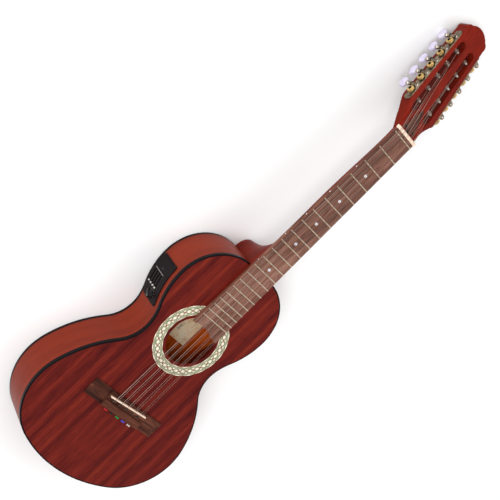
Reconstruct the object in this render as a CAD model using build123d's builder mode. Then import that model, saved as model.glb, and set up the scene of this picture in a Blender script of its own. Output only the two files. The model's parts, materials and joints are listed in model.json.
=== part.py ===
"""Ten-string viola: a waisted, flat-backed body, a slotted headstock and five double courses.

The frame: +Z up out of the soundboard, +Y along the neck towards the headstock, +X towards
the treble side. The origin is on the flat back, under the middle of the body.
"""
import os
from math import asin, atan, copysign, cos, radians, sin, tan

from build123d import *

os.makedirs("parts", exist_ok=True)

# ---------------------------------------------------------------- driving dimensions, mm
SCALE = 580.0                      # vibrating length of an open string, before compensation
FRET_ZERO_Y = 513.1                # the zero fret, in front of the nut
SADDLE_Y = FRET_ZERO_Y - SCALE

BODY_DEPTH = 76.0                  # from the back's underside to the soundboard's top
PLATE = 2.8                        # soundboard and back
SIDE = 2.5                         # bent sides, and the binding's width
BINDING_HEIGHT = 6.5
BINDING_ROUND = 1.2
LINING_WIDTH = 5.0
LINING_HEIGHT = 9.0

# the treble half of the outline, inside the binding: radius and turn of each tangent arc,
# from the neck to the tail. Negative radii are the waist. A last arc closes on the centre line
NECK_FLAT = 25.9
BODY_TOP_Y = 215.7
OUTLINE_ARCS = [(75.3, 90.0), (121.1, 29.0), (-97.2, 14.4), (-59.7, 61.5), (190.6, 29.2), (95.5, 84.2)]

ROSETTE_Y = 69.2
HOLE_R = 41.5
ROSETTE_INNER = 46.2
ROSETTE_OUTER = 63.0
ROSETTE_DEPTH = 1.2

NECK_RISE = 2.5                    # the neck's top above the soundboard
BOARD = 5.7                        # fingerboard thickness
BOARD_HALF_NUT = 22.1              # half width at the zero fret
BOARD_WIDEN = 0.01734              # growth of the half width for each mm towards the body
BOARD_NUT_Y = FRET_ZERO_Y + 5.8    # the fingerboard's end, behind the zero fret
FRET_COUNT = 20
FRET_HEIGHT = 1.0
ZERO_FRET_HEIGHT = 1.3
NUT_LENGTH = 5.5
DOT_FRETS = [3, 5, 7, 9, 12]
DOT_R = 2.6

HEAD_TILT = 14.8                   # degrees, how far the headstock leans back
HEAD_Y = FRET_ZERO_Y + 6.6         # where distances along the headstock start
HEAD_FACE_Z = BODY_DEPTH + 3.9     # the face's height there
HEADPLATE = 1.5
HEAD_THICKNESS = 21.0
EDGE_X0 = 37.06                    # the headstock's straight edges, run back to the nut end
EDGE_TAPER = atan(0.0511)
SLOT_WIDTH = 14.6
SLOT_LENGTH = 135.5
SLOT_MIDDLE = 106.2
SLOT_MIDDLE_X = 14.8
SLOT_LEAN = 1.7                    # degrees, how far the slots close in towards the crest

TUNER_ALONG = [58.9, 84.0, 109.0, 134.1, 159.2]
ROLLER_DEPTH = 7.0                 # the rollers' axes below the face
ROLLER_R = 3.0
RUNNING = 0.06                     # radial running clearance
WORM_OFFSET = 9.2                  # from a roller's axis to its worm's axis
GEAR_OUT = 5.2                     # from the headstock's edge to the gears' mid-plane
GEAR_R = 6.0
GEAR_TEETH = 14
WORM_R = 2.85
PEG_R = 1.7
BUTTON_DEPTH = 30.0                # the buttons' middle below the face
TUNER_PLATE = 1.2

COURSES = 5
NUT_COURSE = 8.5                   # spacing of the courses at the nut
NUT_PAIR = 1.3                     # half the gap between a course's two strings at the nut
SADDLE_COURSE = 13.2
SADDLE_PAIR = 1.9
SADDLE_TOP = 11.0
# string radii, bass to treble, two for each course
STRING_R = [0.48, 0.24, 0.40, 0.20, 0.33, 0.17, 0.22, 0.22, 0.17, 0.17]

PREAMP_TOP_Y = 138.4               # the preamp's panel, at its neck end and its tail end
PREAMP_TAIL_Y = 70.3
PREAMP_LOW_Z = 9.6
PREAMP_HIGH_Z = 60.2
PANEL = 2.0
SLIDER_TRAVEL = 19.0
SLIDER_Z = [17.2, 25.8, 34.4, 43.0]

# ---------------------------------------------------------------- shared geometry


def right_of(heading):
    """Unit vector to the right of a heading, given in degrees from +X."""
    return Vector(sin(radians(heading)), -cos(radians(heading)))


def outline_arcs():
    """Centre, radius, first and last heading of each arc of the treble half."""
    arcs = []
    point = Vector(NECK_FLAT, BODY_TOP_Y)
    heading = 0.0
    for radius, turn in OUTLINE_ARCS:
        centre = point + right_of(heading) * radius
        last = heading - copysign(turn, radius)
        arcs.append((centre, radius, heading, last))
        point = centre - right_of(last) * radius
        heading = last
    closing = -point.X / right_of(heading).X
    arcs.append((point + right_of(heading) * closing, closing, heading, -180.0))
    return arcs


def draw_outline(grow, mode=Mode.ADD):
    """Puts the body outline, grown outwards by grow, into the sketch in hand."""
    with BuildLine() as outline:
        top = BODY_TOP_Y + grow
        Line((0, top), (NECK_FLAT, top))
        for centre, radius, first, last in outline_arcs():
            ends = [centre - right_of(h) * (radius + grow) for h in (first, (first + last) / 2, last)]
            ThreePointArc(*ends)
        mirror(about=Plane.YZ)
    make_face(outline.edges(), mode=mode)


def board_half(y):
    """Half width of the fingerboard at y."""
    return BOARD_HALF_NUT + BOARD_WIDEN * (FRET_ZERO_Y - y)


def fret_y(number):
    return SADDLE_Y + SCALE * 2 ** (-number / 12)


HEAD = Plane(
    origin=(0, HEAD_Y, HEAD_FACE_Z),
    x_dir=(1, 0, 0),
    z_dir=(0, sin(radians(HEAD_TILT)), cos(radians(HEAD_TILT))),
)


def side_point(side, along, depth, out):
    """Point at a distance along a headstock edge, below the face and out from the edge."""
    x = side * (EDGE_X0 - along * sin(EDGE_TAPER) + out * cos(EDGE_TAPER))
    y = along * cos(EDGE_TAPER) + out * sin(EDGE_TAPER)
    return HEAD.from_local_coords(Vector(x, y, -depth))


def roller_plane(side, along, depth, out):
    """Plane whose normal points straight out of the headstock's edge."""
    here = side_point(side, along, depth, out)
    return Plane(
        origin=here,
        x_dir=side_point(side, along + 1, depth, out) - here,
        z_dir=side_point(side, along, depth, out + 1) - here,
    )


def peg_plane(side, along, depth, out):
    """Plane whose normal points out of the headstock's back."""
    here = side_point(side, along, depth, out)
    return Plane(
        origin=here,
        x_dir=side_point(side, along + 1, depth, out) - here,
        z_dir=side_point(side, along, depth + 1, out) - here,
    )


def string_x(index, course, pair):
    """Sideways place of one of the ten strings, bass to treble."""
    number = index // 2 - (COURSES - 1) / 2
    return number * course + (pair if index % 2 else -pair)


def tuner_of(index):
    """Side and place in its row of the tuner that winds a string: outer strings nearest the nut."""
    if index < COURSES:
        return -1, index
    return 1, 2 * COURSES - 1 - index


def rim_plane(y, z, out=0.0):
    """Plane on the bass rim beside the waist: X runs to the tail, Y up and Z straight out."""
    centre, radius, _, _ = outline_arcs()[1]
    radius += SIDE
    turn = asin((centre.Y - y) / radius)
    outward = Vector(-cos(turn), -sin(turn), 0)
    middle = Vector(-centre.X, centre.Y, z)
    return Plane(origin=middle + outward * (radius + out), x_dir=(sin(turn), -cos(turn), 0), z_dir=outward)


# ---------------------------------------------------------------- body
with BuildPart() as soundboard:
    with BuildSketch(Plane.XY.offset(BODY_DEPTH - PLATE)):
        draw_outline(0)
        with Locations((0, ROSETTE_Y)):
            Circle(HOLE_R, mode=Mode.SUBTRACT)
    extrude(amount=PLATE)
    with BuildSketch(Plane.XY.offset(BODY_DEPTH - ROSETTE_DEPTH)):
        with Locations((0, ROSETTE_Y)):
            Circle(ROSETTE_OUTER)
            Circle(ROSETTE_INNER, mode=Mode.SUBTRACT)
    extrude(amount=ROSETTE_DEPTH, mode=Mode.SUBTRACT)
soundboard.part.label = "soundboard"
export_step(soundboard.part, "parts/soundboard.step")

with BuildPart() as rosette:
    with BuildSketch(Plane.XY.offset(BODY_DEPTH - ROSETTE_DEPTH)):
        with Locations((0, ROSETTE_Y)):
            Circle(ROSETTE_OUTER)
            Circle(ROSETTE_INNER, mode=Mode.SUBTRACT)
    extrude(amount=ROSETTE_DEPTH)
rosette.part.label = "rosette"
export_step(rosette.part, "parts/rosette.step")

with BuildPart() as back_plate:
    with BuildSketch():
        draw_outline(0)
    extrude(amount=PLATE)
back_plate.part.label = "back_plate"
export_step(back_plate.part, "parts/back_plate.step")

with BuildPart() as bindings:
    for foot in (0, BODY_DEPTH - BINDING_HEIGHT):
        with BuildSketch(Plane.XY.offset(foot)):
            draw_outline(SIDE)
            draw_outline(0, mode=Mode.SUBTRACT)
        extrude(amount=BINDING_HEIGHT)
    for end in (0, -1):
        rim = bindings.faces().filter_by(Axis.Z).sort_by(Axis.Z)[end]
        fillet(rim.outer_wire().edges(), BINDING_ROUND)
bindings.part.label = "bindings"
export_step(bindings.part, "parts/bindings.step")

TAIL = outline_arcs()[-1]
TAIL_Y = TAIL[0].Y - TAIL[1] - SIDE         # the rim's outer face at the tail
NECK_BLOCK_Y = 193.0
TAIL_BLOCK_Y = TAIL_Y + SIDE + 20.0
BLOCK_HALF = 33.0
TENON_HALF = 11.0
TENON_LOW = 14.0
TENON_HIGH = 62.0
TENON_LENGTH = 10.0
JACK_Z = 37.0
JACK_TUBE_R = 6.0
JACK_R = 3.2
JACK_LENGTH = 32.0
FIT_GAP = 0.3

PREAMP_MIDDLE = rim_plane((PREAMP_TOP_Y + PREAMP_TAIL_Y) / 2, 0)
HOUSING_HALF = 33.0                # along the rim
HOUSING_LOW = 12.6
HOUSING_HIGH = 57.4
HOUSING_DEPTH = 38.0
HOUSING_WALL = 1.6
BATTERY_SIZE = (17.5, 26.5, 48.5)
BATTERY_ALONG = -22.6              # the battery's middle, along the rim from the panel's middle
BATTERY_TOP = -8.0                 # the battery's outer end, below the rim's face
BATTERY_BOX_DEPTH = 59.0


def housing_corners(first, last, depth, grow=0.0):
    """Corners, seen from above, of a block behind the panel from first to last along the rim."""
    start, end, inner = first - grow, last + grow, -depth - grow
    spots = [(start, inner), (start, 10), (end, 10), (end, inner)]
    corners = [PREAMP_MIDDLE.from_local_coords(Vector(along, 0, out)) for along, out in spots]
    return [(corner.X, corner.Y) for corner in corners]


def draw_housing(grow):
    """The preamp housing's plan: the main box and the deeper battery box beside it."""
    battery_end = BATTERY_ALONG + BATTERY_SIZE[0] / 2 + HOUSING_WALL
    Polygon(*housing_corners(-HOUSING_HALF, HOUSING_HALF, HOUSING_DEPTH, grow), align=None)
    Polygon(*housing_corners(-HOUSING_HALF, battery_end, BATTERY_BOX_DEPTH, grow), align=None)


# the two bent sides meet at the tail and, round the neck's tenon, at the neck block
for name, side in (("side_bass", -1), ("side_treble", 1)):
    with BuildPart() as shell:
        with BuildSketch(Plane.XY.offset(BINDING_HEIGHT)):
            draw_outline(SIDE)
            draw_outline(0, mode=Mode.SUBTRACT)
            with Locations((side * 250, 0)):
                Rectangle(500, 600, mode=Mode.INTERSECT)
        extrude(amount=BODY_DEPTH - 2 * BINDING_HEIGHT)
        with Locations((0, BODY_TOP_Y, (TENON_LOW + TENON_HIGH) / 2)):
            Box(2 * TENON_HALF, 4 * SIDE, TENON_HIGH - TENON_LOW, mode=Mode.SUBTRACT)
        with BuildSketch(Plane((0, TAIL_Y - 5, JACK_Z), x_dir=(1, 0, 0), z_dir=(0, 1, 0))):
            Circle(JACK_TUBE_R + FIT_GAP)
        extrude(amount=20, mode=Mode.SUBTRACT)
        if side < 0:
            with BuildSketch(Plane.XY.offset(HOUSING_LOW - FIT_GAP)):
                draw_housing(FIT_GAP)
            extrude(amount=HOUSING_HIGH - HOUSING_LOW + 2 * FIT_GAP, mode=Mode.SUBTRACT)
    shell.part.label = name
    export_step(shell.part, f"parts/{name}.step")

with BuildPart() as neck_block:
    with BuildSketch(Plane.XY.offset(PLATE)):
        draw_outline(0)
        with Locations((0, NECK_BLOCK_Y)):
            Rectangle(2 * BLOCK_HALF, 60, align=(Align.CENTER, Align.MIN), mode=Mode.INTERSECT)
    extrude(amount=BODY_DEPTH - 2 * PLATE)
    with Locations((0, BODY_TOP_Y, (TENON_LOW + TENON_HIGH) / 2)):
        Box(2 * TENON_HALF, 2 * TENON_LENGTH, TENON_HIGH - TENON_LOW, mode=Mode.SUBTRACT)
neck_block.part.label = "neck_block"
export_step(neck_block.part, "parts/neck_block.step")

with BuildPart() as tail_block:
    with BuildSketch(Plane.XY.offset(PLATE)):
        draw_outline(0)
        with Locations((0, TAIL_BLOCK_Y)):
            Rectangle(2 * BLOCK_HALF, 60, align=(Align.CENTER, Align.MAX), mode=Mode.INTERSECT)
    extrude(amount=BODY_DEPTH - 2 * PLATE)
    with BuildSketch(Plane((0, TAIL_Y - 5, JACK_Z), x_dir=(1, 0, 0), z_dir=(0, 1, 0))):
        Circle(JACK_TUBE_R + FIT_GAP)
    extrude(amount=60, mode=Mode.SUBTRACT)
tail_block.part.label = "tail_block"
export_step(tail_block.part, "parts/tail_block.step")

with BuildPart() as linings:
    for foot in (PLATE, BODY_DEPTH - PLATE - LINING_HEIGHT):
        with BuildSketch(Plane.XY.offset(foot)):
            draw_outline(0)
            draw_outline(-LINING_WIDTH, mode=Mode.SUBTRACT)
            with Locations((0, NECK_BLOCK_Y), (0, TAIL_BLOCK_Y - 60)):
                Rectangle(2 * BLOCK_HALF, 60, align=(Align.CENTER, Align.MIN), mode=Mode.SUBTRACT)
        extrude(amount=LINING_HEIGHT)
linings.part.label = "linings"
export_step(linings.part, "parts/linings.step")

TOP_BARS = [168.0, 124.0, 15.0]    # across the soundboard, either side of the sound hole
BACK_BARS = [165.0, 8.0, -60.0, -130.0]
BAR_WIDTH = 8.0
BAR_HEIGHT = 12.5
FAN_STRUTS = [-2, -1, 0, 1, 2]
FAN_HEIGHT = 5.0
BRIDGE_PLATE = (150.0, 44.0, 2.4)
BRIDGE_PLATE_Y = -78.0

with BuildPart() as braces:
    for foot, places in ((PLATE, BACK_BARS), (BODY_DEPTH - PLATE - BAR_HEIGHT, TOP_BARS)):
        with BuildSketch(Plane.XY.offset(foot)):
            with Locations(*[(0, y) for y in places]):
                Rectangle(400, BAR_WIDTH)
            draw_outline(-LINING_WIDTH, mode=Mode.INTERSECT)
        extrude(amount=BAR_HEIGHT)
    with BuildSketch(Plane.XY.offset(BODY_DEPTH - PLATE - FAN_HEIGHT)):
        for number in FAN_STRUTS:
            with Locations(Location((number * 26, -80), 7 * number)):
                Rectangle(5, 182)
        with Locations((0, BRIDGE_PLATE_Y)):
            Rectangle(400, BRIDGE_PLATE[1], mode=Mode.SUBTRACT)
    extrude(amount=FAN_HEIGHT)
braces.part.label = "braces"
export_step(braces.part, "parts/braces.step")

with BuildPart() as bridge_plate:
    with Locations((0, BRIDGE_PLATE_Y, BODY_DEPTH - PLATE)):
        Box(*BRIDGE_PLATE, align=(Align.CENTER, Align.CENTER, Align.MAX))
bridge_plate.part.label = "bridge_plate"
export_step(bridge_plate.part, "parts/bridge_plate.step")

LABEL_SIZE = (36.0, 75.0, 0.3)
LABEL_PLACE = (31.5, 79.0)
with BuildPart() as label:
    with Locations((*LABEL_PLACE, PLATE)):
        Box(*LABEL_SIZE, align=(Align.CENTER, Align.CENTER, Align.MIN))
label.part.label = "label"
export_step(label.part, "parts/label.step")

with BuildPart() as end_jack:
    with BuildSketch(Plane((0, TAIL_Y, JACK_Z), x_dir=(1, 0, 0), z_dir=(0, -1, 0))):
        Circle(10.5)
    extrude(amount=1.6)
    with BuildSketch(Plane((0, TAIL_Y - 1.6, JACK_Z), x_dir=(1, 0, 0), z_dir=(0, -1, 0))):
        RegularPolygon(8.0, 6)
    extrude(amount=3.0)
    with BuildSketch(Plane((0, TAIL_Y - 6.2, JACK_Z), x_dir=(1, 0, 0), z_dir=(0, 1, 0))):
        Circle(JACK_TUBE_R)
    extrude(amount=6.2 + JACK_LENGTH)
    with BuildSketch(Plane((0, TAIL_Y - 6.2, JACK_Z), x_dir=(1, 0, 0), z_dir=(0, 1, 0))):
        Circle(JACK_R)
    extrude(amount=JACK_LENGTH, mode=Mode.SUBTRACT)
end_jack.part.label = "end_jack"
export_step(end_jack.part, "parts/end_jack.step")

# ---------------------------------------------------------------- headstock hardware that leaves holes
COVER = 1.8                        # truss rod cover's thickness
COVER_BASE = (8.5, 13.5)           # distance along the face and half width at its wide end
COVER_APEX = 49.0
COVER_SCREWS = [(-9.0, 11.8), (9.0, 11.8), (0.0, 42.5)]
PLATE_MIDDLE = 113.5
PLATE_LENGTH = 141.0
PLATE_WIDTH = 13.6
PLATE_SCREWS = [47.0, 71.5, 96.5, 121.5, 146.6, 180.0]
SCREW_HEAD = (1.9, 0.9)            # radius and height
SCREW_SHANK = (0.9, -7.0)


def draw_screw(plane):
    """Screw head standing on the plane and a shank below it."""
    for radius, height in (SCREW_HEAD, SCREW_SHANK):
        with BuildSketch(plane) as disc:
            Circle(radius)
        extrude(disc.sketch, amount=height)


with BuildPart() as headstock_screws:
    for x, along in COVER_SCREWS:
        cover_spot = HEAD.from_local_coords(Vector(x, along, COVER))
        draw_screw(Plane(origin=cover_spot, x_dir=HEAD.x_dir, z_dir=HEAD.z_dir))
    for side in (-1, 1):
        for along in PLATE_SCREWS:
            draw_screw(roller_plane(side, along, ROLLER_DEPTH + 3.6, TUNER_PLATE))
headstock_screws.part.label = "headstock_screws"
export_step(headstock_screws.part, "parts/headstock_screws.step")

# ---------------------------------------------------------------- neck and headstock
HEEL_Y = BODY_TOP_Y + SIDE         # the heel stands against the rim here
NECK_TOP = BODY_DEPTH + NECK_RISE
# half width less than the board's, and depth of the neck's half-oval section at some stations
NECK_STATIONS = [(519.6, 18.2), (500.0, 14.2), (470.0, 13.0), (355.0, 14.6), (HEEL_Y, 16.6)]
# height, half width and length of the heel's half-oval section, foot to top
HEEL_STATIONS = [
    (1.5, 18.0, 23.5),
    (20, 19.5, 27),
    (39, 21.5, 34),
    (53, 23.6, 45),
    (66, 25.6, 62),
    (77, 26.6, 74),
]
TONGUE_END_Y = 101.0
TRUSS_Z = NECK_TOP - 5.0
TRUSS_CHANNEL = (5.4, 8.0)
TRUSS_POCKET = (11.0, 26.0, 8.5)
RAMP_X = 17.0                      # shallow ramps that lead the strings into the slots
RAMP_HALF = 4.5
RAMP_START = 31.0
RAMP_END = 47.0
RAMP_DEPTH = 3.6
HEADPLATE_ROUND = 0.8
RIM_CLEAR = 21.0                   # the headplate's edge is rounded outside this half width
# flats that cut the headstock's lower corners back to the neck: three points of each on the treble
# side, by half width, distance along and height, running from the neck's end to the edge
BLEND_FLATS = [
    [(22.3, 0.0, -7.6), (12.0, 0.0, -18.4), (33.0, 40.0, -17.5)],
    [(17.0, 0.0, -14.5), (4.0, 0.0, -21.0), (31.0, 46.0, -21.0)],
]
BLEND_BOX = (90.0, 120.0, 30.0)
ROLLER_BITE = 2.6                  # how far a roller's inner end sits in the headstock's middle


def seat_z(y):
    """Height of the wood under the headplate, where the nut's back half stands."""
    tilt = radians(HEAD_TILT)
    return HEAD_FACE_Z - HEADPLATE / cos(tilt) - (y - HEAD_Y) * tan(tilt)


def roller_reach(along):
    """Length of the roller at a place along the edge, from the edge to its inner end."""
    edge_x = EDGE_X0 - along * sin(EDGE_TAPER)
    inner_wall_x = SLOT_MIDDLE_X - (along - SLOT_MIDDLE) * tan(radians(SLOT_LEAN)) - SLOT_WIDTH / 2
    return edge_x - inner_wall_x + ROLLER_BITE


def draw_headstock():
    """The headstock's outline, mirrored about its centre line."""
    with BuildLine() as half:
        start = Line((0, 0), (22.0, 0))
        cheek = Line(start @ 1, (22.3, 12))
        flare = TangentArc(cheek @ 1, (27.6, 33), tangent=(0.0, 1.0))
        rise = Line(flare @ 1, (31.6, 40.2))
        corner = TangentArc(rise @ 1, (34.38, 52), tangent=rise % 1)
        edge = Line(corner @ 1, (27.3, 191))
        shoulder = ThreePointArc(edge @ 1, (26.2, 199.3), (23.2, 201.9))
        cove = ThreePointArc(shoulder @ 1, (20.6, 202.5), (18.6, 204))
        ThreePointArc(cove @ 1, (9.7, 208.9), (0, 210.5))
        mirror(about=Plane.YZ)
    make_face(half.edges())
    for side in (-1, 1):
        with Locations(Location((side * SLOT_MIDDLE_X, SLOT_MIDDLE), 90 + side * SLOT_LEAN)):
            SlotOverall(SLOT_LENGTH, SLOT_WIDTH, mode=Mode.SUBTRACT)


with BuildPart() as slot_ramps:
    for side in (-1, 1):
        foot = HEAD.from_local_coords(Vector(side * RAMP_X - RAMP_HALF, 0, 0))
        with BuildSketch(Plane(origin=foot, x_dir=HEAD.y_dir, z_dir=(1, 0, 0))):
            Polygon((RAMP_START, 0), (RAMP_END, -RAMP_DEPTH), (RAMP_END, 1), (RAMP_START, 1), align=None)
        extrude(amount=2 * RAMP_HALF)

with BuildPart() as neck:
    for y, depth in NECK_STATIONS:
        with BuildSketch(Plane((0, y, NECK_TOP), x_dir=(1, 0, 0), z_dir=(0, -1, 0))):
            Ellipse(board_half(y) - 0.15, depth)
            Rectangle(100, 50, align=(Align.CENTER, Align.MAX), mode=Mode.INTERSECT)
    loft()
    for z, half, length in HEEL_STATIONS:
        with BuildSketch(Plane.XY.offset(z)):
            with Locations((0, HEEL_Y)):
                Ellipse(half, length)
                Rectangle(100, 100, align=(Align.CENTER, Align.MIN), mode=Mode.INTERSECT)
    loft()
    with BuildSketch(Plane.XY.offset(BODY_DEPTH)):
        tongue = [(-board_half(y) + 0.15, y) for y in (HEEL_Y + 1, TONGUE_END_Y)]
        Polygon(*tongue, *[(-x, y) for x, y in reversed(tongue)], align=None)
    extrude(amount=NECK_RISE)
    with Locations((0, HEEL_Y + 1, (TENON_LOW + TENON_HIGH) / 2)):
        tenon_size = (2 * TENON_HALF, TENON_LENGTH + SIDE + 1, TENON_HIGH - TENON_LOW)
        Box(*tenon_size, align=(Align.CENTER, Align.MAX, Align.CENTER))
    with BuildSketch(HEAD.offset(-HEADPLATE)) as head_plan:
        draw_headstock()
    extrude(amount=HEADPLATE - HEAD_THICKNESS)
    with BuildSketch(HEAD.offset(-HEADPLATE)):
        Rectangle(100, 60, align=(Align.CENTER, Align.MIN))
    extrude(amount=20, mode=Mode.SUBTRACT)
    for side in (-1, 1):
        for flat in BLEND_FLATS:
            near, low, far = [HEAD.from_local_coords(Vector(side * x, along, z)) for x, along, z in flat]
            outward = (low - near).cross(far - near) * side
            with Locations(Plane(origin=near, x_dir=low - near, z_dir=outward)):
                toward = Align.MIN if side > 0 else Align.MAX
                Box(*BLEND_BOX, align=(Align.CENTER, toward, Align.MIN), mode=Mode.SUBTRACT)
    with Locations((0, 228, TRUSS_Z)):
        channel = (TRUSS_CHANNEL[0], 400, TRUSS_CHANNEL[1])
        Box(*channel, align=(Align.CENTER, Align.MIN, Align.CENTER), mode=Mode.SUBTRACT)
    with BuildSketch(HEAD):
        Rectangle(TRUSS_POCKET[0], 2 * TRUSS_POCKET[1])
    extrude(amount=-TRUSS_POCKET[2], mode=Mode.SUBTRACT)
    for side in (-1, 1):
        for along in TUNER_ALONG:
            with BuildSketch(roller_plane(side, along, ROLLER_DEPTH, 5)):
                Circle(ROLLER_R + FIT_GAP)
            extrude(amount=-roller_reach(along) - 5 - FIT_GAP, mode=Mode.SUBTRACT)
    add(headstock_screws.part, mode=Mode.SUBTRACT)
    add(slot_ramps.part, mode=Mode.SUBTRACT)
neck.part.label = "neck"
export_step(neck.part, "parts/neck.step")

with BuildPart() as headplate:
    with BuildSketch(HEAD):
        draw_headstock()
        Rectangle(TRUSS_POCKET[0], 2 * TRUSS_POCKET[1], mode=Mode.SUBTRACT)
    extrude(amount=-HEADPLATE)
    headplate_rim = headplate.faces().sort_by(Axis(HEAD.origin, HEAD.z_dir))[-1].outer_wire().edges()
    fillet(headplate_rim.filter_by(lambda edge: abs(edge.center().X) > RIM_CLEAR), HEADPLATE_ROUND)
    with Locations((0, BOARD_NUT_Y + NUT_LENGTH, BODY_DEPTH)):
        Box(100, 40, 40, align=(Align.CENTER, Align.MAX, Align.CENTER), mode=Mode.SUBTRACT)
    add(headstock_screws.part, mode=Mode.SUBTRACT)
    add(slot_ramps.part, mode=Mode.SUBTRACT)
headplate.part.label = "headplate"
export_step(headplate.part, "parts/headplate.step")

with BuildPart() as truss_rod_cover:
    with BuildSketch(HEAD):
        base, half = COVER_BASE
        Polygon((-half, base), (half, base), (1.6, COVER_APEX), (-1.6, COVER_APEX), align=None)
        fillet(vertices(), 1.2)
    extrude(amount=COVER)
    chamfer(truss_rod_cover.faces().sort_by(Axis(HEAD.origin, HEAD.z_dir))[-1].edges(), 0.5)
    add(headstock_screws.part, mode=Mode.SUBTRACT)
truss_rod_cover.part.label = "truss_rod_cover"
export_step(truss_rod_cover.part, "parts/truss_rod_cover.step")

with BuildPart() as truss_rod:
    with BuildSketch(Plane((0, 230, TRUSS_Z), x_dir=(1, 0, 0), z_dir=(0, 1, 0))):
        Rectangle(TRUSS_CHANNEL[0] - 0.4, TRUSS_CHANNEL[1] - 0.6)
    extrude(amount=284)
    with BuildSketch(Plane((0, 514, TRUSS_Z - 0.5), x_dir=(1, 0, 0), z_dir=(0, 1, 0))):
        Circle(1.8)
    extrude(amount=6)
    with BuildSketch(Plane((0, 520, TRUSS_Z - 0.5), x_dir=(1, 0, 0), z_dir=(0, 1, 0))):
        RegularPolygon(2.7, 6)
    extrude(amount=9)
truss_rod.part.label = "truss_rod"
export_step(truss_rod.part, "parts/truss_rod.step")

# ---------------------------------------------------------------- fingerboard, frets and nut
BOARD_TOP = NECK_TOP + BOARD
FRET_CROWN = 2.1                   # along the neck
FRET_TANG = (0.6, 1.6)
# the board's free end, bass corner to treble corner
BOARD_END = [(-29.4, 96.5), (-10.9, 99.8), (7.7, 96.9), (20.9, 92.6), (29.4, 92.2)]
NUT_OVERHANG = 0.4

with BuildPart() as frets:
    for number in range(FRET_COUNT + 1):
        height = ZERO_FRET_HEIGHT if number == 0 else FRET_HEIGHT
        half = board_half(fret_y(number)) - 0.3
        across = Plane((-half, fret_y(number), BOARD_TOP), x_dir=(0, 1, 0), z_dir=(1, 0, 0))
        with BuildSketch(across):
            with BuildLine():
                foot = Line((-FRET_CROWN / 2, 0), (FRET_CROWN / 2, 0))
                ThreePointArc(foot @ 1, (0, height), foot @ 0)
            make_face()
            Rectangle(FRET_TANG[0], FRET_TANG[1], align=(Align.CENTER, Align.MAX))
        extrude(amount=2 * half)
frets.part.label = "frets"
export_step(frets.part, "parts/frets.step")

with BuildPart() as inlay_dots:
    for number in DOT_FRETS:
        y = (fret_y(number) + fret_y(number - 1)) / 2
        with BuildSketch(Plane.XY.offset(BOARD_TOP)):
            with Locations((0, y)):
                Circle(DOT_R)
        extrude(amount=-1.2)
        edge_x = -board_half(y)
        with BuildSketch(Plane((edge_x - 0.05, y, BOARD_TOP - BOARD / 2), x_dir=(0, 1, 0), z_dir=(1, 0, 0))):
            Circle(1.1)
        extrude(amount=2.0)
inlay_dots.part.label = "inlay_dots"
export_step(inlay_dots.part, "parts/inlay_dots.step")

with BuildPart() as fingerboard:
    with BuildSketch(Plane.XY.offset(NECK_TOP)):
        with BuildLine():
            end = Spline(*BOARD_END)
            treble = Line(end @ 1, (board_half(BOARD_NUT_Y), BOARD_NUT_Y))
            across = Line(treble @ 1, (-board_half(BOARD_NUT_Y), BOARD_NUT_Y))
            Line(across @ 1, end @ 0)
        make_face()
    extrude(amount=BOARD)
    add(frets.part, mode=Mode.SUBTRACT)
    add(inlay_dots.part, mode=Mode.SUBTRACT)
fingerboard.part.label = "fingerboard"
export_step(fingerboard.part, "parts/fingerboard.step")

# ---------------------------------------------------------------- strings and what carries them
BRIDGE_HALF = 75.5
BRIDGE_BACK_Y = -92.2
BRIDGE_FRONT_Y = -63.4
BRIDGE_BLOCK_HALF = 41.0           # the raised middle of the bridge
WING_HEIGHT = 5.2
TIE_BLOCK = (12.5, 9.4)            # length along the strings, and height
TRENCH = (4.5, 3.6)                # length, and height of its floor
LAND_HEIGHT = 7.2
SADDLE_SIZE = (76.0, 2.6)
SADDLE_SLOT_FLOOR = 3.0
PICKUP_HEIGHT = 1.0
SADDLE_MIDDLE_Y = SADDLE_Y - 2.9
SADDLE_SLANT = 3.2                 # degrees, the bass end nearer the tail
STRING_HOLE_Z = BODY_DEPTH + 6.4
STRING_HOLE_R = 0.8
BALL_R = 1.9
NUT_TOP = NECK_TOP + 7.9
NUT_BREAK_Y = BOARD_NUT_Y + 3.8
NUT_DROP = 0.2                     # the strings fall this much from the zero fret to the nut
WINDING = (4.1, 5.0)               # outer radius and length of the string wound on a roller
WINDING_X = [17.6, 15.6, 13.6, 12.6, 12.8]


def saddle_y(x):
    return SADDLE_MIDDLE_Y + x * sin(radians(SADDLE_SLANT)) / cos(radians(SADDLE_SLANT))


def string_route(index):
    """Corner points of one string: ball, bridge hole, saddle, zero fret, nut and roller."""
    thick = STRING_R[index]
    saddle_x = string_x(index, SADDLE_COURSE, SADDLE_PAIR)
    nut_x = string_x(index, NUT_COURSE, NUT_PAIR)
    side, row = tuner_of(index)
    along = TUNER_ALONG[row]
    lift = WINDING[0] + FIT_GAP + thick - ROLLER_DEPTH
    hole_end_y = BRIDGE_BACK_Y + TIE_BLOCK[0]
    fret_top = BOARD_TOP + ZERO_FRET_HEIGHT + thick
    return [
        Vector(saddle_x, BRIDGE_BACK_Y - BALL_R, STRING_HOLE_Z),
        Vector(saddle_x, hole_end_y, STRING_HOLE_Z),
        Vector(saddle_x, saddle_y(saddle_x), BODY_DEPTH + SADDLE_TOP + thick),
        Vector(nut_x, FRET_ZERO_Y, fret_top),
        Vector(nut_x, NUT_BREAK_Y, fret_top - NUT_DROP),
        HEAD.from_local_coords(Vector(side * WINDING_X[row], along, lift)),
    ]


with BuildPart() as strings:
    for index in range(2 * COURSES):
        route = string_route(index)
        with BuildLine() as path:
            Polyline(*route)
        first = path.edges()[0]
        with BuildSketch(Plane(origin=first @ 0, z_dir=first % 0)):
            Circle(STRING_R[index])
        sweep(path=path.wires()[0], transition=Transition.RIGHT)
strings.part.label = "strings"
export_step(strings.part, "parts/strings.step")

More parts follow.
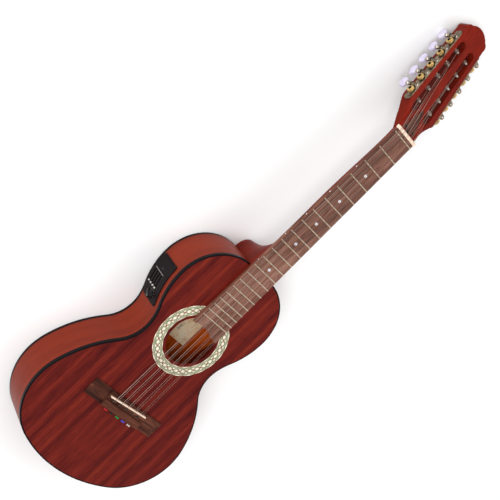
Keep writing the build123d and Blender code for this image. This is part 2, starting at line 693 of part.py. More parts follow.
with BuildPart() as ball_ends:
    for index in range(2 * COURSES):
        with Locations(string_route(index)[0]):
            Sphere(BALL_R)
    with BuildSketch(Plane((0, BRIDGE_BACK_Y, STRING_HOLE_Z), x_dir=(1, 0, 0), z_dir=(0, 1, 0))):
        Rectangle(2 * BRIDGE_BLOCK_HALF, 4 * BALL_R)
    extrude(amount=2 * BALL_R, mode=Mode.SUBTRACT)
    add(strings.part, mode=Mode.SUBTRACT)
ball_ends.part.label = "ball_ends"
export_step(ball_ends.part, "parts/ball_ends.step")

with BuildPart() as saddle:
    slant = Location((0, SADDLE_MIDDLE_Y, BODY_DEPTH), SADDLE_SLANT)
    with BuildSketch(Plane(slant)):
        SlotOverall(*SADDLE_SIZE)
    extrude(amount=SADDLE_TOP)
    fillet(saddle.faces().sort_by(Axis.Z)[-1].edges(), 1.1)
    with BuildSketch(Plane(slant)):
        Rectangle(100, 10)
    extrude(amount=SADDLE_SLOT_FLOOR + PICKUP_HEIGHT, mode=Mode.SUBTRACT)
    add(strings.part, mode=Mode.SUBTRACT)
saddle.part.label = "saddle"
export_step(saddle.part, "parts/saddle.step")

with BuildPart() as pickup_strip:
    with BuildSketch(Plane(slant).offset(SADDLE_SLOT_FLOOR)):
        SlotOverall(*SADDLE_SIZE)
    extrude(amount=PICKUP_HEIGHT)
pickup_strip.part.label = "pickup_strip"
export_step(pickup_strip.part, "parts/pickup_strip.step")

with BuildPart() as bridge:
    with BuildSketch(Plane((0, 0, BODY_DEPTH), x_dir=(0, 1, 0), z_dir=(1, 0, 0))):
        Polygon(
            (BRIDGE_BACK_Y, 0),
            (BRIDGE_FRONT_Y, 0),
            (BRIDGE_FRONT_Y - 0.6, LAND_HEIGHT - 1.0),
            (BRIDGE_FRONT_Y - 1.8, LAND_HEIGHT),
            (BRIDGE_BACK_Y + TIE_BLOCK[0] + TRENCH[0], LAND_HEIGHT),
            (BRIDGE_BACK_Y + TIE_BLOCK[0] + TRENCH[0], TRENCH[1]),
            (BRIDGE_BACK_Y + TIE_BLOCK[0], TRENCH[1]),
            (BRIDGE_BACK_Y + TIE_BLOCK[0], TIE_BLOCK[1]),
            (BRIDGE_BACK_Y + 1.0, TIE_BLOCK[1]),
            (BRIDGE_BACK_Y, TIE_BLOCK[1] - 1.0),
            align=None,
        )
    extrude(amount=BRIDGE_BLOCK_HALF, both=True)
    with BuildSketch(Plane((0, 0, BODY_DEPTH), x_dir=(0, 1, 0), z_dir=(1, 0, 0))):
        with BuildLine():
            foot = Line((BRIDGE_BACK_Y, 0), (BRIDGE_FRONT_Y, 0))
            front = Line(foot @ 1, (BRIDGE_FRONT_Y, WING_HEIGHT - 2.4))
            crown_mid = ((BRIDGE_BACK_Y + BRIDGE_FRONT_Y) / 2, WING_HEIGHT)
            crown = ThreePointArc(front @ 1, crown_mid, (BRIDGE_BACK_Y, WING_HEIGHT - 2.4))
            Line(crown @ 1, foot @ 0)
        make_face()
    extrude(amount=BRIDGE_HALF, both=True)
    for side in (-1, 1):
        bevel = Plane((side * BRIDGE_HALF, 0, BODY_DEPTH + 2.0), x_dir=(0, 1, 0), z_dir=(side * 0.33, 0, 1))
        with BuildSketch(bevel):
            Rectangle(400, 26)
        extrude(amount=20, mode=Mode.SUBTRACT)
    with BuildSketch(Plane(slant).offset(SADDLE_SLOT_FLOOR)):
        SlotOverall(*SADDLE_SIZE)
    extrude(amount=20, mode=Mode.SUBTRACT)
    for index in range(2 * COURSES):
        string_hole = string_route(index)[0]
        with BuildSketch(Plane(origin=string_hole, x_dir=(1, 0, 0), z_dir=(0, 1, 0))):
            Circle(STRING_HOLE_R)
        extrude(amount=TIE_BLOCK[0] + 4, mode=Mode.SUBTRACT)
bridge.part.label = "bridge"
export_step(bridge.part, "parts/bridge.step")

with BuildPart() as nut:
    half = board_half(BOARD_NUT_Y) + NUT_OVERHANG
    with BuildSketch(Plane((-half, 0, 0), x_dir=(0, 1, 0), z_dir=(1, 0, 0))):
        front = BOARD_NUT_Y
        back = BOARD_NUT_Y + NUT_LENGTH
        Polygon(
            (front, NECK_TOP),
            (HEAD_Y, NECK_TOP),
            (HEAD_Y, seat_z(HEAD_Y)),
            (back, seat_z(back)),
            (back, NUT_TOP - 1.6),
            (back - 1.2, NUT_TOP),
            (front, NUT_TOP),
            align=None,
        )
    extrude(amount=2 * half)
    for index in range(2 * COURSES):
        groove_x = string_x(index, NUT_COURSE, NUT_PAIR)
        floor = BOARD_TOP + ZERO_FRET_HEIGHT - NUT_DROP - 0.05
        with BuildSketch(Plane((groove_x, BOARD_NUT_Y - 1, floor), x_dir=(1, 0, 0), z_dir=(0, 1, 0))):
            Rectangle(2 * STRING_R[index] + 0.3, 4, align=(Align.CENTER, Align.MAX))
        extrude(amount=NUT_BREAK_Y - BOARD_NUT_Y + 1, mode=Mode.SUBTRACT)
        slope = Plane((groove_x, NUT_BREAK_Y - 0.8, floor - 0.1), x_dir=(1, 0, 0), z_dir=(0, 1, -0.36))
        with BuildSketch(slope):
            Rectangle(2 * STRING_R[index] + 0.6, 4, align=(Align.CENTER, Align.MAX))
        extrude(amount=5, mode=Mode.SUBTRACT)
nut.part.label = "nut"
export_step(nut.part, "parts/nut.step")

# ---------------------------------------------------------------- tuners
TAB_R = 4.0                        # the rounded tabs that carry a worm
TAB = 1.5                          # their thickness
TAB_ROOT = 0.5                     # where they start, inside the plate
TAB_DEPTHS = [0.2, 12.3]           # the tabs' faces nearer the face of the headstock
WORM_SPAN = (2.1, 11.9)            # the worm's ends below the face
GEAR_WIDTH = 4.4
GEAR_SCREW = (2.5, 1.7)            # radius and height of the screw that holds the gear
BUTTON_SIZE = (18.0, 13.6, 8.0)    # along the edge, along the shaft, and thick
BUTTON_ROUND = 2.6
FERRULE = (2.9, 4.5)               # radius and length of the collar on the button

with BuildPart() as roller_bores:
    for side in (-1, 1):
        for along in TUNER_ALONG:
            with BuildSketch(roller_plane(side, along, ROLLER_DEPTH, 0)):
                Circle(ROLLER_R + RUNNING)
            extrude(amount=TUNER_PLATE)

for name, side in (("tuner_plate_bass", -1), ("tuner_plate_treble", 1)):
    with BuildPart() as tuner_plate:
        with BuildSketch(roller_plane(side, PLATE_MIDDLE, ROLLER_DEPTH, 0)):
            SlotOverall(PLATE_LENGTH, PLATE_WIDTH)
        extrude(amount=TUNER_PLATE)
        for along in TUNER_ALONG:
            for depth in TAB_DEPTHS:
                with BuildSketch(peg_plane(side, along + WORM_OFFSET, depth, (GEAR_OUT + TAB_ROOT) / 2)):
                    Rectangle(2 * TAB_R, GEAR_OUT - TAB_ROOT)
                extrude(amount=TAB)
                with BuildSketch(peg_plane(side, along + WORM_OFFSET, depth, GEAR_OUT)):
                    Circle(TAB_R)
                extrude(amount=TAB)
                with BuildSketch(peg_plane(side, along + WORM_OFFSET, depth, GEAR_OUT)):
                    Circle(PEG_R + RUNNING)
                extrude(amount=TAB, mode=Mode.SUBTRACT)
        add(roller_bores.part, mode=Mode.SUBTRACT)
        add(headstock_screws.part, mode=Mode.SUBTRACT)
    tuner_plate.part.label = name
    export_step(tuner_plate.part, f"parts/{name}.step")

for index in range(2 * COURSES):
    side, row = tuner_of(index)
    number = row + 1 if side < 0 else COURSES + row + 1
    along = TUNER_ALONG[row]

    with BuildPart() as roller:
        reach = roller_reach(along)
        with BuildSketch(roller_plane(side, along, ROLLER_DEPTH, -reach)):
            Circle(ROLLER_R)
        extrude(amount=reach + GEAR_OUT - GEAR_WIDTH / 2)
        winding_point = string_route(index)[-1] - HEAD.z_dir * (WINDING[0] + FIT_GAP + STRING_R[index])
        seat = roller_plane(side, along, ROLLER_DEPTH, 0)
        winding_out = seat.to_local_coords(winding_point).Z
        with BuildSketch(seat.offset(winding_out - WINDING[1] / 2)):
            Circle(WINDING[0])
        extrude(amount=WINDING[1])
        with BuildSketch(seat.offset(GEAR_OUT - GEAR_WIDTH / 2)):
            Circle(GEAR_R)
            with PolarLocations(GEAR_R + 0.15, GEAR_TEETH):
                Circle(0.75, mode=Mode.SUBTRACT)
        extrude(amount=GEAR_WIDTH)
        with BuildSketch(seat.offset(GEAR_OUT + GEAR_WIDTH / 2)):
            Circle(GEAR_SCREW[0])
            Rectangle(6, 0.8, mode=Mode.SUBTRACT)
        extrude(amount=GEAR_SCREW[1])
        with BuildSketch(seat.offset(GEAR_OUT + GEAR_WIDTH / 2)):
            Circle(GEAR_SCREW[0])
        extrude(amount=GEAR_SCREW[1] / 2)
    roller.part.label = f"tuner_roller_{number}"
    export_step(roller.part, f"parts/tuner_roller_{number}.step")

    with BuildPart() as knob:
        spindle = peg_plane(side, along + WORM_OFFSET, 0, GEAR_OUT)
        button_start = BUTTON_DEPTH - BUTTON_SIZE[1] / 2
        with BuildSketch(roller_plane(side, along + WORM_OFFSET, BUTTON_DEPTH, GEAR_OUT)):
            SlotOverall(BUTTON_SIZE[0], BUTTON_SIZE[1])
        extrude(amount=BUTTON_SIZE[2] / 2, both=True)
        fillet(knob.edges().filter_by(lambda edge: abs(edge.length - BUTTON_SIZE[2]) > 0.1), BUTTON_ROUND)
        with BuildSketch(spindle.offset(-0.6)):
            Circle(PEG_R)
        extrude(amount=button_start + 0.6)
        with BuildSketch(spindle.offset(WORM_SPAN[0])):
            Circle(WORM_R)
        extrude(amount=WORM_SPAN[1] - WORM_SPAN[0])
        with BuildSketch(spindle.offset(TAB_DEPTHS[1] + TAB + 0.3)):
            Circle(FERRULE[0])
        extrude(amount=1.4)
        with BuildSketch(spindle.offset(button_start - FERRULE[1] + 1)):
            Circle(FERRULE[0])
        extrude(amount=FERRULE[1])
    knob.part.label = f"tuner_knob_{number}"
    export_step(knob.part, f"parts/tuner_knob_{number}.step")

# ---------------------------------------------------------------- preamp
SLIDER_Y = 100.7                   # middle of the sliders' travel
SLIDER_SLOT = (23.0, 2.6)
SLIDER_STEM = (2.2, 1.8, 6.0)
SLIDER_CAP = (3.0, 2.8, 2.4)
CAP_LIFT = 2.35                    # the caps' undersides above the rim's face
KNOB_PLACE = (79.6, 39.0)
KNOB_R = 5.8
KNOB_HEIGHT = 7.5
KNOB_SHAFT_R = 1.5
KNOB_SHAFT_DEPTH = 5.2
BUTTON_PLACE = (80.4, 26.0)
PUSH_R = 2.6
PUSH_STROKE = 1.2
DOOR_Y = (116.5, 136.0)
DOOR_Z = (17.0, 54.0)
DOOR_GAP = 0.3
DOOR_PIN = (0.5, 1.0)              # radius and length
PANEL_CORNER = 4.0
PANEL_TAIL = Vector(-83.9, PREAMP_TAIL_Y)
PANEL_TAIL_TURN = 22.0             # degrees, how far the tail end of the panel leans


def preamp_wedge():
    """Corners of the stretch of rim that the panel covers, seen from above."""
    away = Vector(-cos(radians(PANEL_TAIL_TURN)), -sin(radians(PANEL_TAIL_TURN)))
    outer = PANEL_TAIL + away * 40
    inner = PANEL_TAIL - away * 30
    return [(-60, PREAMP_TOP_Y), (-130, PREAMP_TOP_Y), (outer.X, outer.Y), (inner.X, inner.Y)]


def door_hinge():
    """Place of the battery door's hinge, seen from above: in the middle of its rounded end."""
    return rim_plane(DOOR_Y[1] - PANEL / 2, 0, PANEL / 2).origin


with BuildPart() as preamp_panel:
    with BuildSketch(Plane.XY.offset(PREAMP_LOW_Z)):
        draw_outline(SIDE + PANEL)
        draw_outline(SIDE, mode=Mode.SUBTRACT)
        Polygon(*preamp_wedge(), align=None, mode=Mode.INTERSECT)
    extrude(amount=PREAMP_HIGH_Z - PREAMP_LOW_Z)
    corners = preamp_panel.edges().filter_by(lambda edge: abs(edge.length - PANEL) < 0.2)
    fillet(corners, PANEL_CORNER)
    for z in SLIDER_Z:
        with BuildSketch(rim_plane(SLIDER_Y, z, -2)):
            SlotOverall(*SLIDER_SLOT)
        extrude(amount=6, mode=Mode.SUBTRACT)
    with BuildSketch(rim_plane(*KNOB_PLACE, -2)):
        Circle(KNOB_SHAFT_R + RUNNING)
    extrude(amount=6, mode=Mode.SUBTRACT)
    with BuildSketch(rim_plane(*BUTTON_PLACE, -2)):
        Circle(PUSH_R + RUNNING)
    extrude(amount=6, mode=Mode.SUBTRACT)
    with Locations((-120, (DOOR_Y[0] + DOOR_Y[1]) / 2, (DOOR_Z[0] + DOOR_Z[1]) / 2)):
        doorway = (60, DOOR_Y[1] - DOOR_Y[0] + 2 * DOOR_GAP, DOOR_Z[1] - DOOR_Z[0] + 2 * DOOR_GAP)
        Box(*doorway, mode=Mode.SUBTRACT)
    upright = (Align.CENTER, Align.CENTER, Align.MIN)
    with Locations((door_hinge().X, door_hinge().Y, DOOR_Z[0] - DOOR_GAP - 0.9)):
        pin_hole = DOOR_Z[1] - DOOR_Z[0] + 2 * DOOR_GAP + 1.8
        Cylinder(DOOR_PIN[0] + RUNNING, pin_hole, align=upright, mode=Mode.SUBTRACT)
preamp_panel.part.label = "preamp_panel"
export_step(preamp_panel.part, "parts/preamp_panel.step")

with BuildPart() as battery_door:
    with BuildSketch(Plane.XY.offset(DOOR_Z[0])):
        draw_outline(SIDE + PANEL)
        draw_outline(SIDE, mode=Mode.SUBTRACT)
        with Locations((-120, (DOOR_Y[0] + DOOR_Y[1]) / 2)):
            Rectangle(100, DOOR_Y[1] - DOOR_Y[0], mode=Mode.INTERSECT)
    extrude(amount=DOOR_Z[1] - DOOR_Z[0])
    hinge_end = battery_door.edges().filter_by(Axis.Z).group_by(Axis.Y)[-1]
    fillet(hinge_end, PANEL / 2 - 0.06)
    with Locations((door_hinge().X, door_hinge().Y, DOOR_Z[0] - DOOR_PIN[1])):
        pin_span = DOOR_Z[1] - DOOR_Z[0] + 2 * DOOR_PIN[1]
        Cylinder(DOOR_PIN[0], pin_span, align=(Align.CENTER, Align.CENTER, Align.MIN))
battery_door.part.label = "battery_door"
export_step(battery_door.part, "parts/battery_door.step")

with BuildPart() as preamp_housing:
    with BuildSketch(Plane.XY.offset(HOUSING_LOW)):
        draw_housing(0)
        draw_outline(SIDE, mode=Mode.INTERSECT)
    extrude(amount=HOUSING_HIGH - HOUSING_LOW)
    with BuildSketch(Plane.XY.offset(HOUSING_LOW + HOUSING_WALL)):
        draw_housing(-HOUSING_WALL)
    extrude(amount=HOUSING_HIGH - HOUSING_LOW - 2 * HOUSING_WALL, mode=Mode.SUBTRACT)
preamp_housing.part.label = "preamp_housing"
export_step(preamp_housing.part, "parts/preamp_housing.step")

BOARD_DEPTH = 16.0                 # the circuit board's face behind the panel
BOARD_SPAN = (-9.0, 30.6)          # along the rim
POT_SIZE = (19.0, 5.6, 7.0)        # a slider's resistor: along the rim, up, and deep
POT_R = 4.0                        # the volume knob's resistor

middle_z = (HOUSING_LOW + HOUSING_HIGH) / 2
with BuildPart() as preamp_board:
    face = PREAMP_MIDDLE.offset(-BOARD_DEPTH)
    with BuildSketch(face):
        with Locations(((BOARD_SPAN[0] + BOARD_SPAN[1]) / 2, middle_z)):
            Rectangle(BOARD_SPAN[1] - BOARD_SPAN[0], HOUSING_HIGH - HOUSING_LOW - 2 * HOUSING_WALL - 0.6)
    extrude(amount=-1.6)
    slider_along = PREAMP_MIDDLE.to_local_coords(rim_plane(SLIDER_Y, 0).origin).X
    knob_along = PREAMP_MIDDLE.to_local_coords(rim_plane(KNOB_PLACE[0], 0).origin).X
    with BuildSketch(face):
        with Locations(*[(slider_along, z) for z in SLIDER_Z]):
            Rectangle(POT_SIZE[0], POT_SIZE[1])
        with Locations((knob_along, KNOB_PLACE[1])):
            Circle(POT_R)
    extrude(amount=POT_SIZE[2])
preamp_board.part.label = "preamp_board"
export_step(preamp_board.part, "parts/preamp_board.step")

with BuildPart() as battery:
    top = PREAMP_MIDDLE.offset(BATTERY_TOP)
    with BuildSketch(top):
        with Locations((BATTERY_ALONG, middle_z)):
            RectangleRounded(BATTERY_SIZE[0], BATTERY_SIZE[1], 2.0)
    extrude(amount=-BATTERY_SIZE[2] + 2.0)
    with BuildSketch(top):
        with Locations((BATTERY_ALONG, middle_z - 6.3), (BATTERY_ALONG, middle_z + 6.3)):
            Circle(2.9)
    extrude(amount=2.0)
battery.part.label = "battery"
export_step(battery.part, "parts/battery.step")

for number, z in enumerate(SLIDER_Z, 1):
    with BuildPart() as slider:
        track = rim_plane(SLIDER_Y, z)
        with BuildSketch(track.offset(-SLIDER_STEM[2])):
            with Locations((SLIDER_TRAVEL / 2, 0)):
                Rectangle(SLIDER_STEM[0], SLIDER_STEM[1])
        extrude(amount=SLIDER_STEM[2] + CAP_LIFT)
        with BuildSketch(track.offset(CAP_LIFT)):
            with Locations((SLIDER_TRAVEL / 2, 0)):
                Rectangle(SLIDER_CAP[0], SLIDER_CAP[1])
        extrude(amount=SLIDER_CAP[2], taper=6)
        fillet(slider.faces().sort_by(Axis(track.origin, track.z_dir))[-1].edges(), 0.5)
    slider.part.label = f"eq_slider_{number}"
    export_step(slider.part, f"parts/eq_slider_{number}.step")

with BuildPart() as volume_knob:
    with BuildSketch(rim_plane(*KNOB_PLACE, PANEL + 0.4)):
        Circle(KNOB_R)
        with PolarLocations(KNOB_R + 0.25, 18):
            Circle(0.5, mode=Mode.SUBTRACT)
    extrude(amount=KNOB_HEIGHT)
    with BuildSketch(rim_plane(*KNOB_PLACE, -KNOB_SHAFT_DEPTH)):
        Circle(KNOB_SHAFT_R)
    extrude(amount=KNOB_SHAFT_DEPTH + PANEL + 0.4)
volume_knob.part.label = "volume_knob"
export_step(volume_knob.part, "parts/volume_knob.step")

with BuildPart() as push_button:
    with BuildSketch(rim_plane(*BUTTON_PLACE, -5.0)):
        Circle(PUSH_R)
    extrude(amount=5.0 + PANEL + PUSH_STROKE + 0.4)
push_button.part.label = "push_button"
export_step(push_button.part, "parts/push_button.step")
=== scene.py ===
"""Looks of a ten-string viola guitar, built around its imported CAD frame."""

import json
import math

import bmesh
import bpy
from mathutils import Euler, Matrix, Vector


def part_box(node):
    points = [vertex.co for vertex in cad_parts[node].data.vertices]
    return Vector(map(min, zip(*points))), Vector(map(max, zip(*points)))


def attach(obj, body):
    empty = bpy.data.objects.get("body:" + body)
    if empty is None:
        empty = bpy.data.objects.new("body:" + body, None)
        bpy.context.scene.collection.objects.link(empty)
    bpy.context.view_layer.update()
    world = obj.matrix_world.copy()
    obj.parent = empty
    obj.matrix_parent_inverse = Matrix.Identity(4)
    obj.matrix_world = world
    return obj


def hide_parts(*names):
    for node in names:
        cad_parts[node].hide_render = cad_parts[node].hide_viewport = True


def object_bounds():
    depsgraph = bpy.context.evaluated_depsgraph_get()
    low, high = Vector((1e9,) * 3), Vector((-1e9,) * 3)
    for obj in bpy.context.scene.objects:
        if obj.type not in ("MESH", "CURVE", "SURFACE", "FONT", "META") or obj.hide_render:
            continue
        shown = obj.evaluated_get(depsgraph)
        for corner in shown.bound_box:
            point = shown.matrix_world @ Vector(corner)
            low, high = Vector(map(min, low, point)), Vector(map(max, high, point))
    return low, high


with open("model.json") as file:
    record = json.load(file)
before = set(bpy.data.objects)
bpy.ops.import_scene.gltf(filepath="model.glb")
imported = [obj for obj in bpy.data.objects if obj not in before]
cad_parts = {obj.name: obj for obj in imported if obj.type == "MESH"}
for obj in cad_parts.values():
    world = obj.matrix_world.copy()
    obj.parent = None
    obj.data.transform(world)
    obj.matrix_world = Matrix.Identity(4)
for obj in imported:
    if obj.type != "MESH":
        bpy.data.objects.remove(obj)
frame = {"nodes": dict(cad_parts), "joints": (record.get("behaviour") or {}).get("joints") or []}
cad_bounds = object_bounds()
nodes = frame["nodes"]
joints = {joint["name"]: joint for joint in frame["joints"]}
MM = 0.001
ROOT = "instrument"


# ---------------------------------------------------------------- materials
def rgb(red, green, blue):
    """A display colour, 0 to 255, as the shader's linear colour."""
    linear = []
    for value in (red, green, blue):
        share = value / 255
        linear.append(share / 12.92 if share <= 0.04045 else ((share + 0.055) / 1.055) ** 2.4)
    return (*linear, 1.0)


class Look:
    """A procedural material in the making."""

    def __init__(self, name, roughness=0.4, metallic=0.0, coat=0.0, coat_roughness=0.08, specular=0.5):
        self.material = bpy.data.materials.new(name)
        self.material.use_nodes = True
        self.tree = self.material.node_tree
        self.shader = self.tree.nodes["Principled BSDF"]
        self.shader.inputs["Roughness"].default_value = roughness
        self.shader.inputs["Metallic"].default_value = metallic
        self.shader.inputs["Coat Weight"].default_value = coat
        self.shader.inputs["Coat Roughness"].default_value = coat_roughness
        self.shader.inputs["Specular IOR Level"].default_value = specular
        self.place = self.add("ShaderNodeTexCoord").outputs["Object"]

    def add(self, kind, **settings):
        node = self.tree.nodes.new(kind)
        for key, value in settings.items():
            setattr(node, key, value)
        return node

    def feed(self, socket, value):
        if isinstance(value, bpy.types.NodeSocket):
            self.tree.links.new(value, socket)
        else:
            socket.default_value = value

    def math(self, operation, first, second=0.0, third=0.0, clamp=False):
        node = self.add("ShaderNodeMath", operation=operation, use_clamp=clamp)
        for socket, value in zip(node.inputs, (first, second, third)):
            self.feed(socket, value)
        return node.outputs[0]

    def axes(self):
        node = self.add("ShaderNodeSeparateXYZ")
        self.feed(node.inputs[0], self.place)
        return node.outputs

    def joined(self, x, y, z):
        node = self.add("ShaderNodeCombineXYZ")
        for socket, value in zip(node.inputs, (x, y, z)):
            self.feed(socket, value)
        return node.outputs[0]

    def noise(self, scale, stretch=(1, 1, 1), detail=3.0, roughness=0.5, distortion=0.0, shift=(0, 0, 0)):
        mapping = self.add("ShaderNodeMapping")
        self.feed(mapping.inputs["Vector"], self.place)
        mapping.inputs["Scale"].default_value = stretch
        mapping.inputs["Location"].default_value = shift
        node = self.add("ShaderNodeTexNoise")
        self.feed(node.inputs["Vector"], mapping.outputs[0])
        node.inputs["Scale"].default_value = scale
        node.inputs["Detail"].default_value = detail
        node.inputs["Roughness"].default_value = roughness
        node.inputs["Distortion"].default_value = distortion
        return node.outputs["Fac"]

    def ramp(self, value, stops, interpolation="LINEAR"):
        node = self.add("ShaderNodeValToRGB")
        node.color_ramp.interpolation = interpolation
        elements = node.color_ramp.elements
        while len(elements) < len(stops):
            elements.new(0.5)
        for element, (position, colour) in zip(elements, stops):
            element.position = position
            element.color = colour if isinstance(colour, tuple) else (colour, colour, colour, 1)
        self.feed(node.inputs[0], value)
        return node.outputs[0]

    def mix(self, share, first, second, blend="MIX"):
        node = self.add("ShaderNodeMix", data_type="RGBA", blend_type=blend)
        self.feed(node.inputs["Factor"], share)
        self.feed(node.inputs[6], first)
        self.feed(node.inputs[7], second)
        return node.outputs[2]

    def colour(self, value):
        self.feed(self.shader.inputs["Base Color"], value)

    def rough(self, value, low, high):
        node = self.add("ShaderNodeMapRange")
        self.feed(node.inputs[0], value)
        node.inputs["To Min"].default_value = low
        node.inputs["To Max"].default_value = high
        self.feed(self.shader.inputs["Roughness"], node.outputs[0])

    def bump(self, height, depth, strength=1.0):
        node = self.add("ShaderNodeBump")
        node.inputs["Strength"].default_value = strength
        node.inputs["Distance"].default_value = depth
        self.feed(node.inputs["Height"], height)
        self.feed(self.shader.inputs["Normal"], node.outputs[0])


def wood(name, tones, along=(1, 0.05, 1), figure=38, mirrored=False, seam=None, rough=(0.28, 0.42),
         coat=0.02, pores=0.35, fleck=0.25, contrast=1.0, shift=(0, 0, 0), wave=0.35):
    """Wood with broad ribbons, fine grain lines, short dark pores and a broken fleck."""
    look = Look(name, coat=coat, coat_roughness=0.16, specular=0.05)
    if mirrored:
        x, y, z = look.axes()
        look.place = look.joined(look.math("ABSOLUTE", x), y, z)
    wander = look.noise(7, detail=2, shift=shift)
    ribbon = look.noise(figure, along, detail=3, roughness=0.55, distortion=wave, shift=shift)
    fine = look.noise(620, along, detail=4, roughness=0.65)
    short = tuple(0.16 if share < 1 else 1 for share in along)
    broken = look.noise(150, short, detail=3, roughness=0.6, distortion=0.6)
    value = look.math("MULTIPLY_ADD", fine, 0.30, look.math("MULTIPLY", ribbon, 0.62))
    value = look.math("MULTIPLY_ADD", broken, fleck, value)
    value = look.math("MULTIPLY_ADD", wander, 0.18, value)
    middle = 0.5 * (0.30 + 0.62 + fleck + 0.18)
    value = look.math("MULTIPLY_ADD", look.math("SUBTRACT", value, middle), 3.2 * contrast, 0.5, clamp=True)
    stops = [(i / (len(tones) - 1), tone) for i, tone in enumerate(tones)]
    colour = look.ramp(value, stops)
    pore_place = tuple(0.04 if share < 1 else 1 for share in along)
    pore = look.ramp(look.noise(1500, pore_place, detail=2, roughness=0.5), [(0.33, 1.0), (0.42, 0.0)])
    dark = look.mix(1.0, tones[0], (0.35, 0.3, 0.3, 1), "MULTIPLY")
    colour = look.mix(look.math("MULTIPLY", pore, pores), colour, dark)
    if seam is not None:
        x = look.axes()[0]
        line = look.ramp(look.math("MULTIPLY", look.math("ABSOLUTE", x), 1000), [(0.0, 1.0), (seam, 0.0)])
        colour = look.mix(look.math("MULTIPLY", line, 0.55), colour, dark)
    look.colour(colour)
    look.rough(look.math("MULTIPLY_ADD", pore, 0.5, look.math("MULTIPLY", broken, 0.6)), *rough)
    look.bump(look.math("MULTIPLY_ADD", pore, -1.0, look.math("MULTIPLY", fine, 0.5)), 0.00004, 0.35)
    return look.material


def plastic(name, colour, roughness=0.3, coat=0.05, speckle=0.12, grain=900, bump=0.00002, specular=0.15):
    """Moulded plastic, with a faint grain and uneven gloss."""
    look = Look(name, coat=coat, coat_roughness=0.1, specular=specular)
    grains = look.noise(grain, detail=3)
    cloud = look.noise(60, detail=2)
    dim = tuple(channel * (1 - speckle) for channel in colour[:3]) + (1,)
    lit = tuple(min(1, channel * (1 + speckle)) for channel in colour[:3]) + (1,)
    look.colour(look.ramp(cloud, [(0.3, dim), (0.7, lit)]))
    look.rough(look.math("MULTIPLY_ADD", cloud, 0.5, look.math("MULTIPLY", grains, 0.5)), roughness * 0.75,
               roughness * 1.3)
    look.bump(grains, bump, 0.4)
    return look.material


def metal(name, colour, roughness=0.2, tarnish=None, brushed=None, wear=0.3, scale=220):
    """Metal with uneven polish, scratches along one axis where brushed, and tarnish in patches."""
    look = Look(name, metallic=1.0)
    cloud = look.noise(scale, detail=4, roughness=0.6)
    scratch = look.noise(2600, brushed or (1, 1, 1), detail=2)
    base = look.ramp(cloud, [(0.35, tuple(c * 0.86 for c in colour[:3]) + (1,)), (0.65, colour)])
    if tarnish:
        patches = look.noise(scale * 0.6, detail=5, roughness=0.7, shift=(3, 1, 2))
        spots = look.ramp(patches, [(0.44, 0.0), (0.66, wear)])
        base = look.mix(spots, base, tarnish)
    look.colour(base)
    look.rough(look.math("MULTIPLY_ADD", cloud, 0.6, look.math("MULTIPLY", scratch, 0.4)), roughness * 0.6,
               roughness * 1.7)
    look.bump(scratch, 0.000012, 0.3)
    return look.material


def pearl(name, base, tints, scale=130, rough=0.18):
    """Pearloid: clouded sheets of pale tints under a clear coat."""
    look = Look(name, coat=0.2, coat_roughness=0.05, specular=0.3)
    swirl = look.noise(scale, detail=4, roughness=0.6, distortion=1.4)
    veins = look.noise(scale * 2.2, detail=3, distortion=2.5, shift=(1, 2, 3))
    colour = look.ramp(swirl, [(0.3, tints[0]), (0.5, base), (0.7, tints[1])])
    colour = look.mix(look.ramp(veins, [(0.55, 0.0), (0.7, 0.5)]), colour, tints[2])
    look.colour(colour)
    look.rough(veins, rough * 0.7, rough * 1.4)
    look.bump(swirl, 0.00002, 0.15)
    return look.material


ALONG_X = (0.05, 1, 1)
ALONG_Y = (1, 0.022, 1)
ALONG_RIM = (0.05, 0.05, 1)
TOP_TONES = [rgb(56, 13, 15), rgb(80, 20, 18), rgb(103, 29, 22), rgb(122, 40, 27)]
SIDE_TONES = [rgb(106, 34, 20), rgb(124, 42, 24), rgb(136, 47, 26), rgb(150, 58, 30)]
NECK_TONES = [rgb(78, 16, 6), rgb(100, 21, 8), rgb(116, 27, 10), rgb(134, 37, 14)]
FACE_TONES = [rgb(88, 16, 4), rgb(112, 21, 6), rgb(130, 27, 8), rgb(148, 38, 12)]
ROSEWOOD_TONES = [rgb(46, 24, 19), rgb(70, 37, 29), rgb(92, 52, 39), rgb(116, 71, 54)]
BOARD_TONES = [rgb(76, 47, 39), rgb(106, 70, 59), rgb(132, 91, 77), rgb(156, 115, 99)]

# the slots that the preamp's sliders run in, which get painted shade on the panel: lowest, spacing, half
# width, middle and half length
SLOT_FIRST = 17.2
SLOT_STEP = 8.6
SLOT_HALF = 1.45
SLOT_Y = 100.7
SLOT_REACH = 11.8

# the strings at the bridge: between courses, and half of the gap within one
COURSE_STEP = 13.2
PAIR_HALF = 1.9

